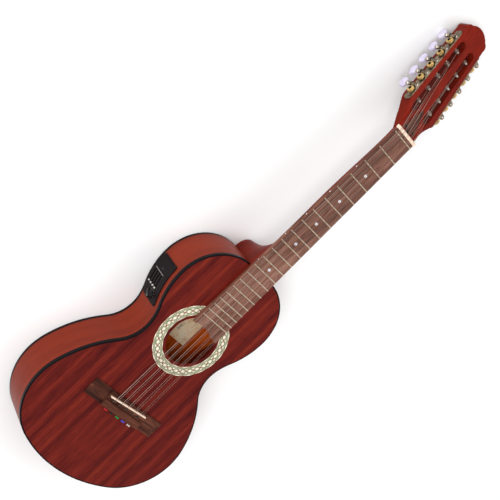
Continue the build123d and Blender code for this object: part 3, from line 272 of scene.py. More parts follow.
M = {
    "top": wood("mahogany_top", TOP_TONES, along=ALONG_Y, mirrored=True, seam=0.35, figure=40, fleck=0.2,
                wave=0.12, rough=(0.3, 0.46), contrast=1.1),
    "side": wood("mahogany_side", SIDE_TONES, along=ALONG_RIM, figure=26, fleck=0.16, contrast=0.7,
                 pores=0.2, rough=(0.3, 0.44)),
    "neck": wood("neck_wood", NECK_TONES, along=ALONG_Y, figure=46, fleck=0.16, contrast=0.75,
                 rough=(0.3, 0.46)),
    "face": wood("face_wood", FACE_TONES, along=ALONG_Y, figure=40, fleck=0.2, contrast=0.8,
                 rough=(0.26, 0.4), shift=(5, 0, 0)),
    "board": wood("fingerboard_wood", BOARD_TONES, figure=120, fleck=0.12, pores=0.75, contrast=1.1,
                  coat=0.0, rough=(0.42, 0.62)),
    "bridge": wood("bridge_wood", ROSEWOOD_TONES, along=ALONG_X, figure=120, fleck=0.12, pores=0.7, coat=0.0,
                   rough=(0.42, 0.6)),
    "cover": wood("cover_wood", ROSEWOOD_TONES, figure=110, pores=0.6, fleck=0.1, coat=0.1,
                  rough=(0.35, 0.5)),
    "inner": wood("inner_wood", [rgb(156, 58, 12), rgb(196, 82, 22), rgb(226, 110, 36)], figure=40,
                  coat=0.0, rough=(0.6, 0.8)),
    "spruce": wood("brace_wood", [rgb(150, 110, 62), rgb(186, 148, 92), rgb(208, 174, 118)],
                   along=ALONG_X, figure=90, pores=0.1, coat=0.0, rough=(0.6, 0.8)),
    "binding": plastic("binding_black", rgb(16, 10, 13), 0.3, coat=0.0, speckle=0.2, specular=0.06),
    "knob": plastic("knob_black", rgb(14, 12, 13), 0.34, specular=0.25),
    "white": plastic("cap_white", rgb(208, 202, 196), 0.34, speckle=0.04),
    "mark": plastic("mark_white", rgb(172, 166, 162), 0.5, coat=0.0, speckle=0.1),
    "mark_dim": plastic("mark_grey", rgb(78, 74, 74), 0.5, coat=0.0, speckle=0.1),
    "bone": plastic("bone_ivory", rgb(234, 208, 186), 0.3, coat=0.1, speckle=0.06, grain=300),
    # hole_black is also used for the painted shade at the bridge
    "black": plastic("hole_black", rgb(9, 8, 8), 0.6, coat=0.0, specular=0.05),
    "cream": pearl("rosette_cream", rgb(186, 172, 146),
                [rgb(164, 156, 126), rgb(202, 188, 164), rgb(184, 146, 130)]),
    "oval": pearl("rosette_pearl", rgb(240, 226, 206),
               [rgb(226, 210, 194), rgb(250, 240, 226), rgb(236, 206, 196)]),
    "green": plastic("rosette_green", rgb(76, 112, 76), 0.4, speckle=0.25, grain=500),
    "red": plastic("rosette_red", rgb(146, 46, 52), 0.4, speckle=0.25, grain=500),
    "sage": plastic("rosette_sage", rgb(120, 142, 104), 0.4, speckle=0.2, grain=500),
    "fret": metal("fret_metal", rgb(206, 190, 168), 0.34, brushed=(0.05, 1, 1), scale=90),
    "nickel": metal("antique_nickel", rgb(142, 128, 110), 0.3, tarnish=rgb(54, 45, 36), wear=0.9),
    "chrome": metal("bright_chrome", rgb(190, 180, 170), 0.16, scale=120),
    "brass": metal("gear_brass", rgb(220, 186, 122), 0.28, tarnish=rgb(120, 86, 44), wear=0.55),
    "steel": metal("dark_steel", rgb(72, 70, 70), 0.4),
    "dot": pearl("dot_pearl", rgb(232, 234, 238),
              [rgb(200, 206, 220), rgb(250, 250, 250), rgb(226, 214, 232)], 300),
    "button": pearl("button_pearl", rgb(206, 198, 222),
                 [rgb(190, 182, 210), rgb(222, 216, 234), rgb(198, 190, 216)], 70),
    "battery": plastic("battery_case", rgb(40, 40, 44), 0.4),
    "circuit": plastic("circuit_green", rgb(24, 84, 44), 0.4),
}


def string_look():
    """Plain and wound steel: dull, with fine rings along the string."""
    look = Look("string_metal", roughness=0.45, metallic=1.0)
    y = look.axes()[1]
    rings = look.math("SINE", look.math("MULTIPLY", y, 2 * math.pi / 0.0004))
    tone = look.noise(40, (1, 0.2, 1), detail=2)
    look.colour(look.ramp(tone, [(0.3, rgb(118, 94, 84)), (0.7, rgb(176, 154, 142))]))
    look.rough(tone, 0.36, 0.55)
    look.bump(rings, 0.00002, 0.3)
    return look.material


def panel_look():
    """Black plastic, with painted shade: near black in the four slots that the sliders run in."""
    look = Look("panel_black", roughness=0.42, specular=0.05)
    grains = look.noise(900, detail=3)
    y, z = look.axes()[1:]
    row = look.math("MULTIPLY_ADD", z, 1000 / SLOT_STEP, -SLOT_FIRST / SLOT_STEP)
    off = look.math("ABSOLUTE", look.math("SUBTRACT", row, look.math("ROUND", row)))
    near = look.math("LESS_THAN", off, SLOT_HALF / SLOT_STEP)
    rows = look.math("LESS_THAN", look.math("ABSOLUTE", look.math("SUBTRACT", row, 1.5)), 1.9)
    span = look.math("LESS_THAN", look.math("ABSOLUTE", look.math("ADD", y, -SLOT_Y * MM)), SLOT_REACH * MM)
    # painted shade: the four slot rows, along their length, are coloured near black rgb(3, 3, 3)
    painted_slot_shade = look.math("MULTIPLY", look.math("MULTIPLY", near, rows), span)
    plain = look.ramp(grains, [(0.3, rgb(20, 15, 16)), (0.7, rgb(30, 24, 25))])
    look.colour(look.mix(painted_slot_shade, plain, rgb(3, 3, 3)))
    look.rough(grains, 0.34, 0.56)
    look.bump(grains, 0.00004, 0.4)
    return look.material


def back_look():
    """The back: gloss mahogany outside and bare orange-brown wood on the inside face."""
    look = Look("mahogany_back_both", roughness=0.4, specular=0.05)
    ribbon = look.noise(34, ALONG_Y, detail=3, distortion=0.2, shift=(2, 1, 0))
    fine = look.noise(600, ALONG_Y, detail=3)
    value = look.math("MULTIPLY_ADD", fine, 0.35, look.math("MULTIPLY", ribbon, 0.65))
    outside = look.ramp(value, [(0.3 + 0.13 * i, tone) for i, tone in enumerate(SIDE_TONES)])
    inside = look.ramp(value, [(0.35, rgb(150, 58, 12)), (0.5, rgb(200, 84, 22)),
                               (0.65, rgb(232, 114, 38))])
    height = look.math("GREATER_THAN", look.axes()[2], 0.0014)
    look.colour(look.mix(height, outside, inside))
    look.rough(fine, 0.32, 0.48)
    look.bump(fine, 0.00003, 0.3)
    return look.material


def screw_look():
    """Nickel screws on the tuner plates and dark ones in the truss rod's cover, near the middle."""
    look = Look("screw_metal", roughness=0.3, metallic=1.0)
    across = look.math("MULTIPLY", look.math("ABSOLUTE", look.axes()[0]), 1 / 0.03)
    cloud = look.noise(300, detail=3)
    tone = look.ramp(across, [(0.0, rgb(48, 44, 42)), (0.6, rgb(150, 140, 124))], "CONSTANT")
    look.colour(look.mix(look.math("MULTIPLY", cloud, 0.35), tone, rgb(40, 34, 30)))
    look.rough(cloud, 0.22, 0.5)
    return look.material


def ball_look():
    """Enamelled ball ends, one colour for each course."""
    look = Look("ball_enamel", roughness=0.25, coat=0.1, specular=0.2)
    x = look.math("MULTIPLY_ADD", look.axes()[0], 1000 / (5 * COURSE_STEP), 0.5)
    tones = [rgb(190, 14, 34), rgb(16, 16, 18), rgb(34, 140, 56), rgb(84, 70, 196), rgb(196, 188, 178)]
    colour = look.ramp(x, [(i / 5, tone) for i, tone in enumerate(tones)], "CONSTANT")
    cloud = look.noise(400, detail=2)
    look.colour(look.mix(look.math("MULTIPLY", cloud, 0.3), colour, (0.02, 0.02, 0.02, 1)))
    look.rough(cloud, 0.18, 0.4)
    return look.material


def label_look():
    """Marbled cream paper with brown and grey clouds."""
    look = Look("label_paper", roughness=0.8, specular=0.05)
    big = look.noise(55, detail=5, roughness=0.65, distortion=1.2)
    veins = look.noise(120, detail=4, distortion=2.5, shift=(4, 2, 1))
    paper = look.ramp(big, [(0.30, rgb(240, 190, 140)), (0.48, rgb(255, 226, 186)),
                            (0.7, rgb(255, 242, 212))])
    paper = look.mix(look.ramp(veins, [(0.58, 0.0), (0.72, 0.6)]), paper, rgb(216, 144, 78))
    spots = look.ramp(look.noise(75, detail=4, shift=(9, 9, 9)), [(0.60, 0.0), (0.72, 0.7)])
    look.colour(look.mix(spots, paper, rgb(96, 88, 90)))
    look.bump(big, 0.00005, 0.3)
    return look.material


M["string"] = string_look()
M["screw"] = screw_look()
M["panel"] = panel_look()
M["back"] = back_look()
M["ball"] = ball_look()
M["label"] = label_look()


def paint(name, look):
    """Gives a carried-over CAD node its material."""
    data = nodes[name].data
    data.materials.clear()
    data.materials.append(M[look])


CAD_LOOKS = {
    "soundboard": "top", "back_plate": "back", "side_bass": "side", "side_treble": "side",
    "bindings": "binding", "neck_block": "inner", "tail_block": "inner", "linings": "inner",
    "braces": "spruce", "bridge_plate": "inner", "label": "label", "end_jack": "chrome",
    "headstock_screws": "screw", "neck": "neck", "headplate": "face", "truss_rod_cover": "cover",
    "truss_rod": "steel", "frets": "fret", "inlay_dots": "dot", "fingerboard": "board",
    "strings": "string", "ball_ends": "ball", "saddle": "bone", "pickup_strip": "steel",
    "bridge": "bridge", "nut": "bone", "preamp_panel": "panel", "preamp_housing": "knob",
    "preamp_board": "circuit", "battery": "battery", "battery_door": "panel", "push_button": "knob",
    "rosette": "green", "tuner_plate_bass": "nickel", "tuner_plate_treble": "nickel",
    "volume_knob": "knob",
}
for number in range(1, 5):
    CAD_LOOKS[f"eq_slider_{number}"] = "white"
for number in range(1, 11):
    CAD_LOOKS[f"tuner_roller_{number}"] = "brass"
    CAD_LOOKS[f"tuner_knob_{number}"] = "button"
for name, look in CAD_LOOKS.items():
    paint(name, look)


# ---------------------------------------------------------------- mesh helpers, in millimetres
class Piece:
    """One mesh piece, gathered from shapes given in millimetres."""

    def __init__(self, name):
        self.name = name
        self.mesh = bmesh.new()
        self.looks = []

    def slot(self, look):
        if look not in self.looks:
            self.looks.append(look)
        return self.looks.index(look)

    def grid(self, rows, look, cap=True, matrix=Matrix.Identity(4), smooth=True):
        """Faces between rows of points; each row is a ring, and the ends are capped."""
        slot = self.slot(look)
        rings = [[self.mesh.verts.new(matrix @ (Vector(point) * MM)) for point in row] for row in rows]
        faces = []
        for low, high in zip(rings, rings[1:]):
            count = len(low)
            for i in range(count):
                j = (i + 1) % count
                faces.append(self.mesh.faces.new((low[i], low[j], high[j], high[i])))
        if cap:
            faces.append(self.mesh.faces.new(list(reversed(rings[0]))))
            faces.append(self.mesh.faces.new(rings[-1]))
        for face in faces:
            face.material_index = slot
            face.smooth = smooth
        return faces

    def lathe(self, profile, look, matrix, segments=32):
        """A turned shape: radius and height pairs about local Z."""
        rows = []
        for radius, height in profile:
            turn = [2 * math.pi * i / segments for i in range(segments)]
            rows.append([(radius * math.cos(a), radius * math.sin(a), height) for a in turn])
        self.grid(rows, look, matrix=matrix)

    def tube(self, path, radius, look, matrix=Matrix.Identity(4), segments=8):
        """A round tube along points."""
        points = [Vector(p) for p in path]
        rows = []
        side = None
        for i, point in enumerate(points):
            ahead = points[min(i + 1, len(points) - 1)] - points[max(i - 1, 0)]
            ahead.normalize()
            side = (side or Vector((0.3, 0.5, 0.8))) - ahead * ahead.dot(side or Vector((0.3, 0.5, 0.8)))
            side.normalize()
            other = ahead.cross(side)
            turn = [2 * math.pi * k / segments for k in range(segments)]
            rows.append([point + (side * math.cos(a) + other * math.sin(a)) * radius for a in turn])
        self.grid(rows, look, matrix=matrix)

    def done(self, body, replaces=(), angle=35):
        bmesh.ops.recalc_face_normals(self.mesh, faces=self.mesh.faces)
        data = bpy.data.meshes.new(self.name)
        self.mesh.to_mesh(data)
        self.mesh.free()
        for look in self.looks:
            data.materials.append(M[look])
        data.set_sharp_from_angle(angle=math.radians(angle))
        piece = bpy.data.objects.new(self.name, data)
        bpy.context.scene.collection.objects.link(piece)
        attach(piece, body)
        if replaces:
            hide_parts(*replaces)
        return piece


def placed(origin, z_axis, x_axis):
    """Matrix with a local Z, and a local X as near as it can be to x_axis."""
    z = Vector(z_axis).normalized()
    x = Vector(x_axis)
    x = (x - z * x.dot(z)).normalized()
    y = z.cross(x)
    matrix = Matrix((x, y, z)).transposed().to_4x4()
    matrix.translation = Vector(origin)
    return matrix


# ---------------------------------------------------------------- rosette
CHAIN = 29                         # big ovals in the rosette's chain
OUTER_CAPS = 20
INNER_CAPS = 17
WAVE = 3.5                         # how far the green lines swing about the middle
RING_WIDTH = 16.8                  # the ring's width
RING_STEPS = 900                   # points round each of its lines


def make_rosette():
    """A chain of pearl ovals between two crossing green lines, with capped and scalloped edges."""
    low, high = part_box("rosette")
    middle = (low + high) / 2
    outer = (high.x - low.x) / 2 / MM
    top = high.z / MM
    place = Matrix.Translation((middle.x, middle.y, 0))
    inner = outer - RING_WIDTH
    centre = (outer + inner) / 2
    piece = Piece("rosette_inlay")

    def swing(a, count, shift=0.0):
        return abs(math.sin(count / 2 * a + shift))

    def ring(radius_of, height):
        points = []
        for i in range(RING_STEPS):
            a = 2 * math.pi * i / RING_STEPS
            radius = radius_of(a)
            points.append((radius * math.cos(a), radius * math.sin(a), height))
        return points

    def band(inside, outside, low_z, high_z, look):
        rows = [ring(inside, low_z), ring(inside, high_z), ring(outside, high_z), ring(outside, low_z)]
        piece.grid(rows + [rows[0]], look, cap=False, matrix=place, smooth=False)

    def line(radius_of, width, rise, look):
        half = width / 2
        band(lambda a: radius_of(a) - half, lambda a: radius_of(a) + half, top - 0.2, top + rise, look)

    def outer_edge(a):
        return outer - 0.95 + 0.95 * swing(a, OUTER_CAPS) ** 0.6

    def inner_edge(a):
        return inner + 0.7 - 0.7 * swing(a, INNER_CAPS) ** 0.6

    band(inner_edge, outer_edge, top - 0.6, top + 0.03, "cream")
    line(lambda a: outer_edge(a) - 2.1, 0.7, 0.06, "green")
    line(lambda a: outer_edge(a) - 3.2, 0.45, 0.06, "sage")
    line(lambda a: inner_edge(a) + 1.9, 0.7, 0.06, "green")
    line(lambda a: inner_edge(a) + 2.9, 0.45, 0.06, "sage")
    for way in (-1, 1):
        line(lambda a: centre + way * WAVE * swing(a, CHAIN), 1.15, 0.09 + 0.01 * way, "green")
        line(lambda a: centre + way * (1.5 + 0.8 * WAVE * swing(a, CHAIN, math.pi / 2)), 0.6, 0.07, "green")

    def oval(angle, radius, length, width, look, rise=0.14):
        rows = []
        for share, height in ((1.0, 0.0), (0.94, 0.6), (0.7, 0.9), (0.35, 1.0)):
            row = []
            for k in range(16):
                t = 2 * math.pi * k / 16
                a = angle + share * length / 2 * math.cos(t) / radius
                r = radius + share * width / 2 * math.sin(t)
                row.append((r * math.cos(a), r * math.sin(a), top + 0.02 + rise * height))
            rows.append(row)
        piece.grid(rows, look, matrix=place)

    turn = 2 * math.pi
    for k in range(CHAIN):
        oval((k + 0.5) * turn / CHAIN, centre, 5.0, 4.8, "oval", 0.22)
        crossing = k * turn / CHAIN
        oval(crossing, centre, 2.7, 2.2, "red", 0.16)
        for way in (-1, 1):
            oval(crossing, centre + way * 3.0, 4.0, 2.1, "oval", 0.16)
    for k in range(OUTER_CAPS):
        oval((k + 0.5) * turn / OUTER_CAPS, outer - 1.1, 8.0, 1.5, "oval", 0.12)
        oval(k * turn / OUTER_CAPS, outer - 1.5, 1.5, 1.1, "red", 0.12)
    for k in range(INNER_CAPS):
        oval((k + 0.5) * turn / INNER_CAPS, inner + 0.9, 8.0, 1.3, "oval", 0.12)
        oval(k * turn / INNER_CAPS, inner + 1.3, 1.5, 1.1, "red", 0.12)
    piece.done(ROOT, ["rosette"])


make_rosette()


# ---------------------------------------------------------------- tuners
BUTTON = (9.0, 6.8, 4.2)           # half sizes of a button along the edge, along the shaft and through
BUTTON_DEPTH = 30.0                # the button's middle, along the shaft
WORM_PITCH = 2.7
WORM_FOOT = 2.1                    # where the thread starts and how long it is
WORM_LENGTH = 9.8
WORM_R = 2.2
WORM_THREAD = 0.55
GEAR_TEETH = 14
GEAR_R = 5.55                      # mean radius of the teeth, and half their height
GEAR_TOOTH = 0.48
COIL_TURNS = 5.5                   # turns of string wound on a post
COIL_R = 3.3


def superellipse(value, power):
    return math.copysign(abs(value) ** power, value)


def make_tuner(number):
    roller = joints[f"roller_turn_{number}"]
    knob = joints[f"tuner_turn_{number}"]
    out = Vector(roller["axis"])
    down = Vector(knob["axis"])
    local = placed(roller["pos_m"], out, down)
    inverse = local.inverted()
    spots = [inverse @ v.co / MM for v in nodes[f"tuner_roller_{number}"].data.vertices]
    inner_end = min(p.z for p in spots)
    collar = [p.z for p in spots if math.hypot(p.x, p.y) > 3.9 and p.z < 0]
    first, last = min(collar), max(collar)

    piece = Piece(f"string_post_{number}")
    piece.lathe([(2.6, inner_end), (3.0, inner_end + 0.4), (3.0, first - 1.2), (2.75, first - 0.6),
                 (2.75, last + 0.6), (3.0, last + 1.2), (3.0, 3.0)], "chrome", local, 28)
    path = []
    steps = COIL_TURNS * 20
    for i in range(int(steps) + 1):
        a = 2 * math.pi * i / 20
        path.append((COIL_R * math.cos(a), COIL_R * math.sin(a), first + (last - first) * i / steps))
    piece.tube(path, 0.5, "string", local, 6)
    rows = []
    for height, grow in ((3.0, -0.7), (3.5, -0.05), (4.4, -0.25), (5.2, -0.4), (6.0, -0.25), (6.9, -0.05),
                         (7.4, -0.7)):
        row = []
        for i in range(GEAR_TEETH * 10):
            a = 2 * math.pi * i / (GEAR_TEETH * 10)
            radius = GEAR_R + grow + GEAR_TOOTH * math.tanh(2.2 * math.cos(GEAR_TEETH * a))
            row.append((radius * math.cos(a), radius * math.sin(a), height))
        rows.append(row)
    piece.grid(rows, "brass", matrix=local)
    piece.lathe([(3.2, 7.3), (3.2, 7.7), (2.7, 7.9), (2.7, 7.7)], "brass", local, 28)
    piece.lathe([(2.4, 7.5), (2.45, 8.2), (2.1, 8.8), (1.2, 9.1), (0.01, 9.15)], "black", local, 24)
    piece.done(f"tuner_roller_{number}", [f"tuner_roller_{number}"])

    local = placed(knob["pos_m"], down, out.cross(down))
    spindle = Piece(f"tuner_spindle_{number}")
    spindle.lathe([(1.2, -0.6), (1.7, -0.4), (1.7, 2.1)], "chrome", local, 20)
    rows = []
    for i in range(61):
        height = WORM_FOOT + WORM_LENGTH * i / 60
        row = []
        for k in range(28):
            a = 2 * math.pi * k / 28
            ease = min(1, 6 * min(i, 60 - i) / 60)
            thread = math.cos(a - 2 * math.pi * height / WORM_PITCH)
            radius = WORM_R + WORM_THREAD * ease * math.tanh(1.6 * thread)
            row.append((radius * math.cos(a), radius * math.sin(a), height))
        rows.append(row)
    spindle.grid(rows, "nickel", matrix=local)
    spindle.lathe([(1.7, 11.9), (1.7, 14.0), (2.7, 14.2), (2.9, 14.8), (2.7, 15.4), (1.8, 15.8),
                   (1.8, 16.6), (1.8, 17.6), (2.6, 18.0), (3.1, 18.6), (2.6, 19.2), (1.9, 19.5),
                   (2.6, 20.0), (3.3, 21.2), (3.5, 22.4), (3.1, 23.8), (2.0, 24.6)], "chrome", local, 28)
    spindle.done(f"tuner_knob_{number}")

    button = Piece(f"tuner_button_{number}")
    rows = []
    for i in range(1, 24):
        v = -math.pi / 2 + math.pi * i / 24
        row = []
        for k in range(48):
            u = 2 * math.pi * k / 48
            flat = superellipse(math.cos(v), 0.62)
            row.append((BUTTON[0] * flat * math.cos(u), BUTTON[2] * superellipse(math.sin(v), 0.72),
                        BUTTON_DEPTH + BUTTON[1] * flat * math.sin(u)))
        rows.append(row)
    button.grid(rows, "button", matrix=local)
    button.done(f"tuner_knob_{number}", [f"tuner_knob_{number}"], angle=60)


for number in range(1, 11):
    make_tuner(number)


def slot_ring(half, first, last, height, steps=14):
    """A slot's outline about local Y, from first to last along it."""
    points = []
    for middle, start in ((last - half, 0.0), (first + half, math.pi)):
        for i in range(steps + 1):
            a = start + math.pi * i / steps
            points.append((half * math.cos(a), middle + half * math.sin(a), height))
    return points


def make_plate_trim(name, numbers):
    """Raised rims, bosses and braces on one row's plate."""
    roller = joints[f"roller_turn_{numbers[0]}"]
    knob = joints[f"tuner_turn_{numbers[0]}"]
    local = placed(roller["pos_m"], roller["axis"], knob["axis"])
    inverse = local.inverted()
    spots = [inverse @ v.co / MM for v in nodes[name].data.vertices]
    first, last = min(p.y for p in spots), max(p.y for p in spots)
    half = max(p.x for p in spots if p.z < 1.3)
    piece = Piece(f"{name}_trim")
    rim = [slot_ring(half - inset, first + inset, last - inset, height)
           for inset, height in ((0.15, 1.2), (0.25, 1.5), (0.6, 1.6), (1.0, 1.45), (1.2, 1.2))]
    piece.grid(rim + [rim[0]], "nickel", cap=False, matrix=local)
    for end, sense in ((first, 1), (last, -1)):
        for k in range(5):
            a = math.radians(-50 + 25 * k)
            leaf = [(3.2 * math.sin(a), end + sense * (6.2 - 3.2 * math.cos(a)), 1.15),
                    (4.9 * math.sin(a), end + sense * (6.2 - 4.9 * math.cos(a)), 1.25)]
            piece.tube(leaf, 0.45, "nickel", local, 8)
    for number in numbers:
        place = inverse @ Vector(joints[f"tuner_turn_{number}"]["pos_m"]) / MM
        for height, way in ((0.2, -1), (13.8, 1)):
            spot = local @ (Vector((place.x + height, place.y, place.z)) * MM)
            turned = placed(spot, local.to_3x3() @ Vector((way, 0, 0)), local.to_3x3() @ Vector((0, 1, 0)))
            rows = [(1.85, 0.0), (3.4, 0.0), (3.4, 0.12), (3.1, 0.25), (2.2, 0.25), (1.85, 0.12)]
            if way > 0:
                rows = [(radius, rise * 0.8) for radius, rise in rows]
            points = [[(radius * math.cos(t), radius * math.sin(t), rise) for t in
                       [2 * math.pi * i / 28 for i in range(28)]] for radius, rise in rows]
            piece.grid(points + [points[0]], "nickel", cap=False, matrix=turned)
        for sense in (-1, 1):
            for depth in (place.x + 1.1, place.x + 12.9):
                brace = [(depth, place.y + sense * 6.6, 1.1), (depth, place.y + sense * 5.2, 1.9),
                         (depth, place.y + sense * 3.9, 4.2)]
                piece.tube(brace, 0.55, "nickel", local, 8)
    piece.done(ROOT)


make_plate_trim("tuner_plate_bass", range(1, 6))
make_plate_trim("tuner_plate_treble", range(6, 11))


# ---------------------------------------------------------------- preamp
SLIDE_HALF = 9.5                   # half the sliders' travel


def rim_frame():
    """Centre and radius of the panel's outer face, and the bearing of the sliders' middle."""
    turn = joints["volume_turn"]
    first, out = Vector(turn["pos_m"][:2]), Vector(turn["axis"][:2]).normalized()
    slide = Vector(joints["eq_slide_1"]["axis"][:2]).normalized()
    low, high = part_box("eq_slider_1")
    second = ((low + high) / 2).xy + slide * SLIDE_HALF * MM
    across = Vector((-slide.y, slide.x))
    if across.dot(out) < 0:
        across = -across
    gap = first - second
    reach = (gap.x * across.y - gap.y * across.x) / (out.x * across.y - out.y * across.x)
    centre = first - out * reach
    radius = max((v.co.xy - centre).length for v in nodes["preamp_panel"].data.vertices
                 if (v.co.xy - centre).normalized().dot(across) > 0.98)
    return centre, radius, across, -slide


RIM_CENTRE, RIM_R, RIM_OUT, RIM_TAIL = rim_frame()


def on_panel(along, height, lift=0.0):
    """Frame on the panel: along the rim towards the tail from the sliders' middle, and up."""
    a = along * MM / RIM_R
    out = RIM_OUT * math.cos(a) + RIM_TAIL * math.sin(a)
    tail = RIM_TAIL * math.cos(a) - RIM_OUT * math.sin(a)
    spot = RIM_CENTRE + out * (RIM_R + lift * MM)
    return placed((spot.x, spot.y, height * MM), (out.x, out.y, 0), (tail.x, tail.y, 0))


def bar(piece, along, height, length, width, look, rise=0.12, lift=-0.05):
    """A flat bar lying on the panel, long towards the tail and wide upwards."""
    half_a, half_b = length / 2, width / 2
    corners = [(-half_a, -half_b), (half_a, -half_b), (half_a, half_b), (-half_a, half_b)]
    rows = [[(x * k, y * k, z) for x, y in corners] for k, z in ((1, 0), (1, rise * 0.7), (0.94, rise))]
    piece.grid(rows, look, matrix=on_panel(along, height, lift), smooth=False)


DIAL_R = 8.2                       # radius of the ring of dots round the volume knob


def make_preamp():
    marks = Piece("preamp_marks")
    for k in range(15):
        bar(marks, -13.6, SLOT_FIRST - 2.2 + 2.15 * k, 0.7, 2.2, "mark", 0.14, -0.02)
    for k in range(4):
        for step in range(5):
            between = SLOT_FIRST + SLOT_STEP * k + SLOT_STEP / 2
            bar(marks, -9.0 + 4.5 * step, between, 0.4, 1.6, "mark_dim", 0.1, -0.02)
    turn = joints["volume_turn"]
    knob_a = -joint_along(turn["pos_m"])
    for k in range(9):
        a = math.radians(-120 + 30 * k)
        height = turn["pos_m"][2] / MM + DIAL_R * math.sin(a)
        bar(marks, -knob_a - DIAL_R * math.cos(a), height, 0.8, 0.8, "mark", 0.12, -0.02)
    marks.done(ROOT)

    local = placed(turn["pos_m"], turn["axis"], (0, 0, 1))
    low, high = extent("volume_knob", local)
    knob = Piece("volume_knob_cap")
    rows = []
    for share, radius, depth in ((0.0, 5.2, 0.0), (0.02, 5.75, 0.0), (0.12, 5.75, 0.0), (0.2, 5.35, 0.22),
                                 (0.85, 4.95, 0.26), (0.95, 4.75, 0.1), (1.0, 4.3, 0.0)):
        row = []
        for i in range(144):
            a = 2 * math.pi * i / 144
            r = radius - depth * (0.5 + 0.5 * math.cos(24 * a))
            row.append((r * math.cos(a), r * math.sin(a), low + (high - low) * share))
        rows.append(row)
    rows.append([(3.6 * math.cos(2 * math.pi * i / 144), 3.6 * math.sin(2 * math.pi * i / 144), high - 0.35)
                 for i in range(144)])
    knob.grid(rows, "knob", matrix=local)
    knob.lathe([(1.5, low - 7.0), (1.5, low + 0.3)], "knob", local, 20)
    pointer = [[(x, y, z) for x, y in ((1.2, -0.35), (4.6, -0.35), (4.6, 0.35), (1.2, 0.35))]
               for z in (high - 0.4, high + 0.02)]
    knob.grid(pointer, "mark", matrix=local, smooth=False)
    knob.done("volume_knob", ["volume_knob"])

    for number in range(1, 5):
        name = f"eq_slider_{number}"
        low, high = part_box(name)
        rest = (low + high) / 2
        cap = Piece(f"eq_cap_{number}")
        place = on_panel(joint_along(rest), rest.z / MM)
        for size, foot, head, look in ((0.85, -6.0, 0.5, "knob"), (1.05, 0.45, 2.4, "white")):
            corners = [(-1, -1), (1, -1), (1, 1), (-1, 1)]
            rows = [[(x * size * k, y * size * k, z) for x, y in corners]
                    for k, z in ((1, foot), (1, head - 0.4), (0.75, head))]
            cap.grid(rows, look, matrix=place, smooth=False)
        cap.done(name, [name])

    low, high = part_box("battery_door")
    ridge = Piece("door_grip")
    along = joint_along(((low.x + high.x) / 2, low.y + 3.2 * MM, 0))
    for k in range(4):
        bar(ridge, along + 1.1 * k - 1.6, (low.z + high.z) / 2 / MM, 0.5, 12.0, "knob", 0.4)
    ridge.done("battery_door")


def joint_along(place):
    """Distance along the rim, towards the tail, of a place near the panel."""
    away = Vector(place[:2]) - RIM_CENTRE
    return math.atan2(away.dot(RIM_TAIL), away.dot(RIM_OUT)) * RIM_R / MM


def extent(name, local):
    """How far a CAD node's widest part reaches along a local frame's Z."""
    spots = [local.inverted() @ v.co / MM for v in nodes[name].data.vertices]
    wide = [p.z for p in spots if math.hypot(p.x, p.y) > 4]
    return min(wide), max(wide)


make_preamp()


# ---------------------------------------------------------------- bridge
TRENCH = (-79.55, -75.35)
TRENCH_FLOOR = 3.6
LAND = 7.2
FLOOR_HALF = 32.0


def make_bridge_shadows():
    """Painted shade at the bridge: a black sheet on the trench floor, black rings at the mouths of the
    string holes and black arches in front of them.
    """
    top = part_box("soundboard")[1].z / MM
    piece = Piece("bridge_painted_shade")
    # painted shade: a thin black sheet laid on the trench floor
    back, front = TRENCH
    floor = [(-FLOOR_HALF, back), (FLOOR_HALF, back), (FLOOR_HALF, front), (-FLOOR_HALF, front)]
    rows = [[(x, y, top + TRENCH_FLOOR + z) for x, y in floor] for z in (-0.05, 0.05)]
    piece.grid(rows, "black", smooth=False)
    # painted shade: black rings round the mouths of the string holes
    for number in range(10):
        x = (number // 2 - 2) * COURSE_STEP + (PAIR_HALF if number % 2 else -PAIR_HALF)
        mouth = placed((x * MM, (TRENCH[0] - 0.1) * MM, (top + 6.4) * MM), (0, 1, 0), (1, 0, 0))
        ring = [2 * math.pi * i / 20 for i in range(20)]
        rows = [[(r * math.cos(a), r * math.sin(a), z) for a in ring]
                for r, z in ((0.85, -0.1), (1.3, -0.1), (1.3, 0.02), (0.85, 0.02))]
        piece.grid(rows + [rows[0]], "black", cap=False, matrix=mouth)
    # painted shade: black arches on the land at the trench's front edge, where the strings run over
    for course in range(5):
        x = (course - 2) * COURSE_STEP
        arch = [math.pi * i / 12 for i in range(13)]
        rows = [[(x + k * 3.0 * math.cos(a), front + 0.1 + k * 2.4 * math.sin(a), top + LAND + z)
                 for a in arch]
                for k, z in ((1.0, -0.1), (1.0, 0.05), (0.9, 0.08))]
        piece.grid(rows, "black", smooth=False)
    piece.done(ROOT)


make_bridge_shadows()


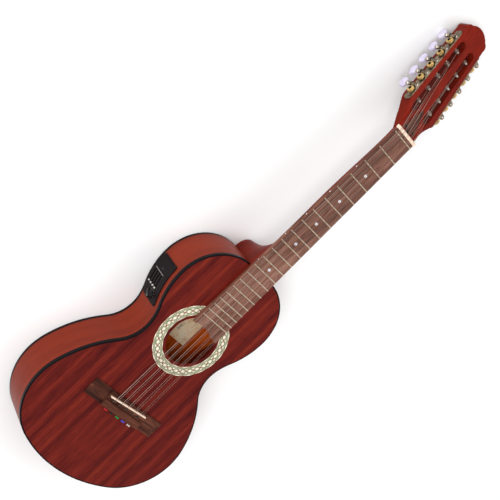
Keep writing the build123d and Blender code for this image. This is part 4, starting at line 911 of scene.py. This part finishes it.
# ---------------------------------------------------------------- floor, light and camera
def make_stage():
    floor = bpy.data.meshes.new("floor")
    size = 6.0
    level = cad_bounds[0][2]
    corners = [(-size, -size, level), (size, -size, level), (size, size, level), (-size, size, level)]
    floor.from_pydata(corners, [], [(0, 1, 2, 3)])
    look = Look("floor_pale", roughness=0.9, specular=0.1)
    look.colour(look.ramp(look.noise(3, detail=2), [(0.3, 0.90), (0.7, 0.92)]))
    floor.materials.append(look.material)
    ground = bpy.data.objects.new("floor", floor)
    bpy.context.scene.collection.objects.link(ground)
    world = bpy.data.worlds.new("studio")
    world.use_nodes = True
    world.node_tree.nodes["Background"].inputs[0].default_value = (1, 1, 1, 1)
    world.node_tree.nodes["Background"].inputs[1].default_value = 0.8
    bpy.context.scene.world = world
    bpy.context.scene.view_settings.view_transform = "Standard"
    for name, place, target, size, power in (
        ("key", (-1.6, -0.4, 2.6), (0, 0.1, 0), 1.6, 42),
        ("fill", (-2.4, 1.6, 0.9), (0, 0.1, 0.05), 1.8, 16),
        ("rim", (1.6, 1.6, 2.2), (0, 0.2, 0), 1.5, 14),
    ):
        lamp = bpy.data.lights.new(name, "AREA")
        lamp.shape = "SQUARE"
        lamp.size = size
        lamp.energy = power
        light = bpy.data.objects.new(name, lamp)
        light.location = place
        light.rotation_euler = (Vector(target) - Vector(place)).to_track_quat("-Z", "Y").to_euler()
        bpy.context.scene.collection.objects.link(light)


make_stage()

CAMERA_PLACE = (-0.9945, 0.3125, 1.3708)
CAMERA_TURN = (-29.05, -22.73, 50.82)
CAMERA_LENS = 77.07
CAMERA_SHIFT = (-0.0062, -0.0076)
camera_data = bpy.data.cameras.new("camera")
camera_data.sensor_width = 36.0
camera_data.lens = CAMERA_LENS
camera_data.shift_x = CAMERA_SHIFT[0]
camera_data.shift_y = CAMERA_SHIFT[1]
camera = bpy.data.objects.new("camera", camera_data)
camera.location = CAMERA_PLACE
camera.rotation_euler = Euler([math.radians(a) for a in CAMERA_TURN])
bpy.context.scene.collection.objects.link(camera)
bpy.context.scene.camera = camera
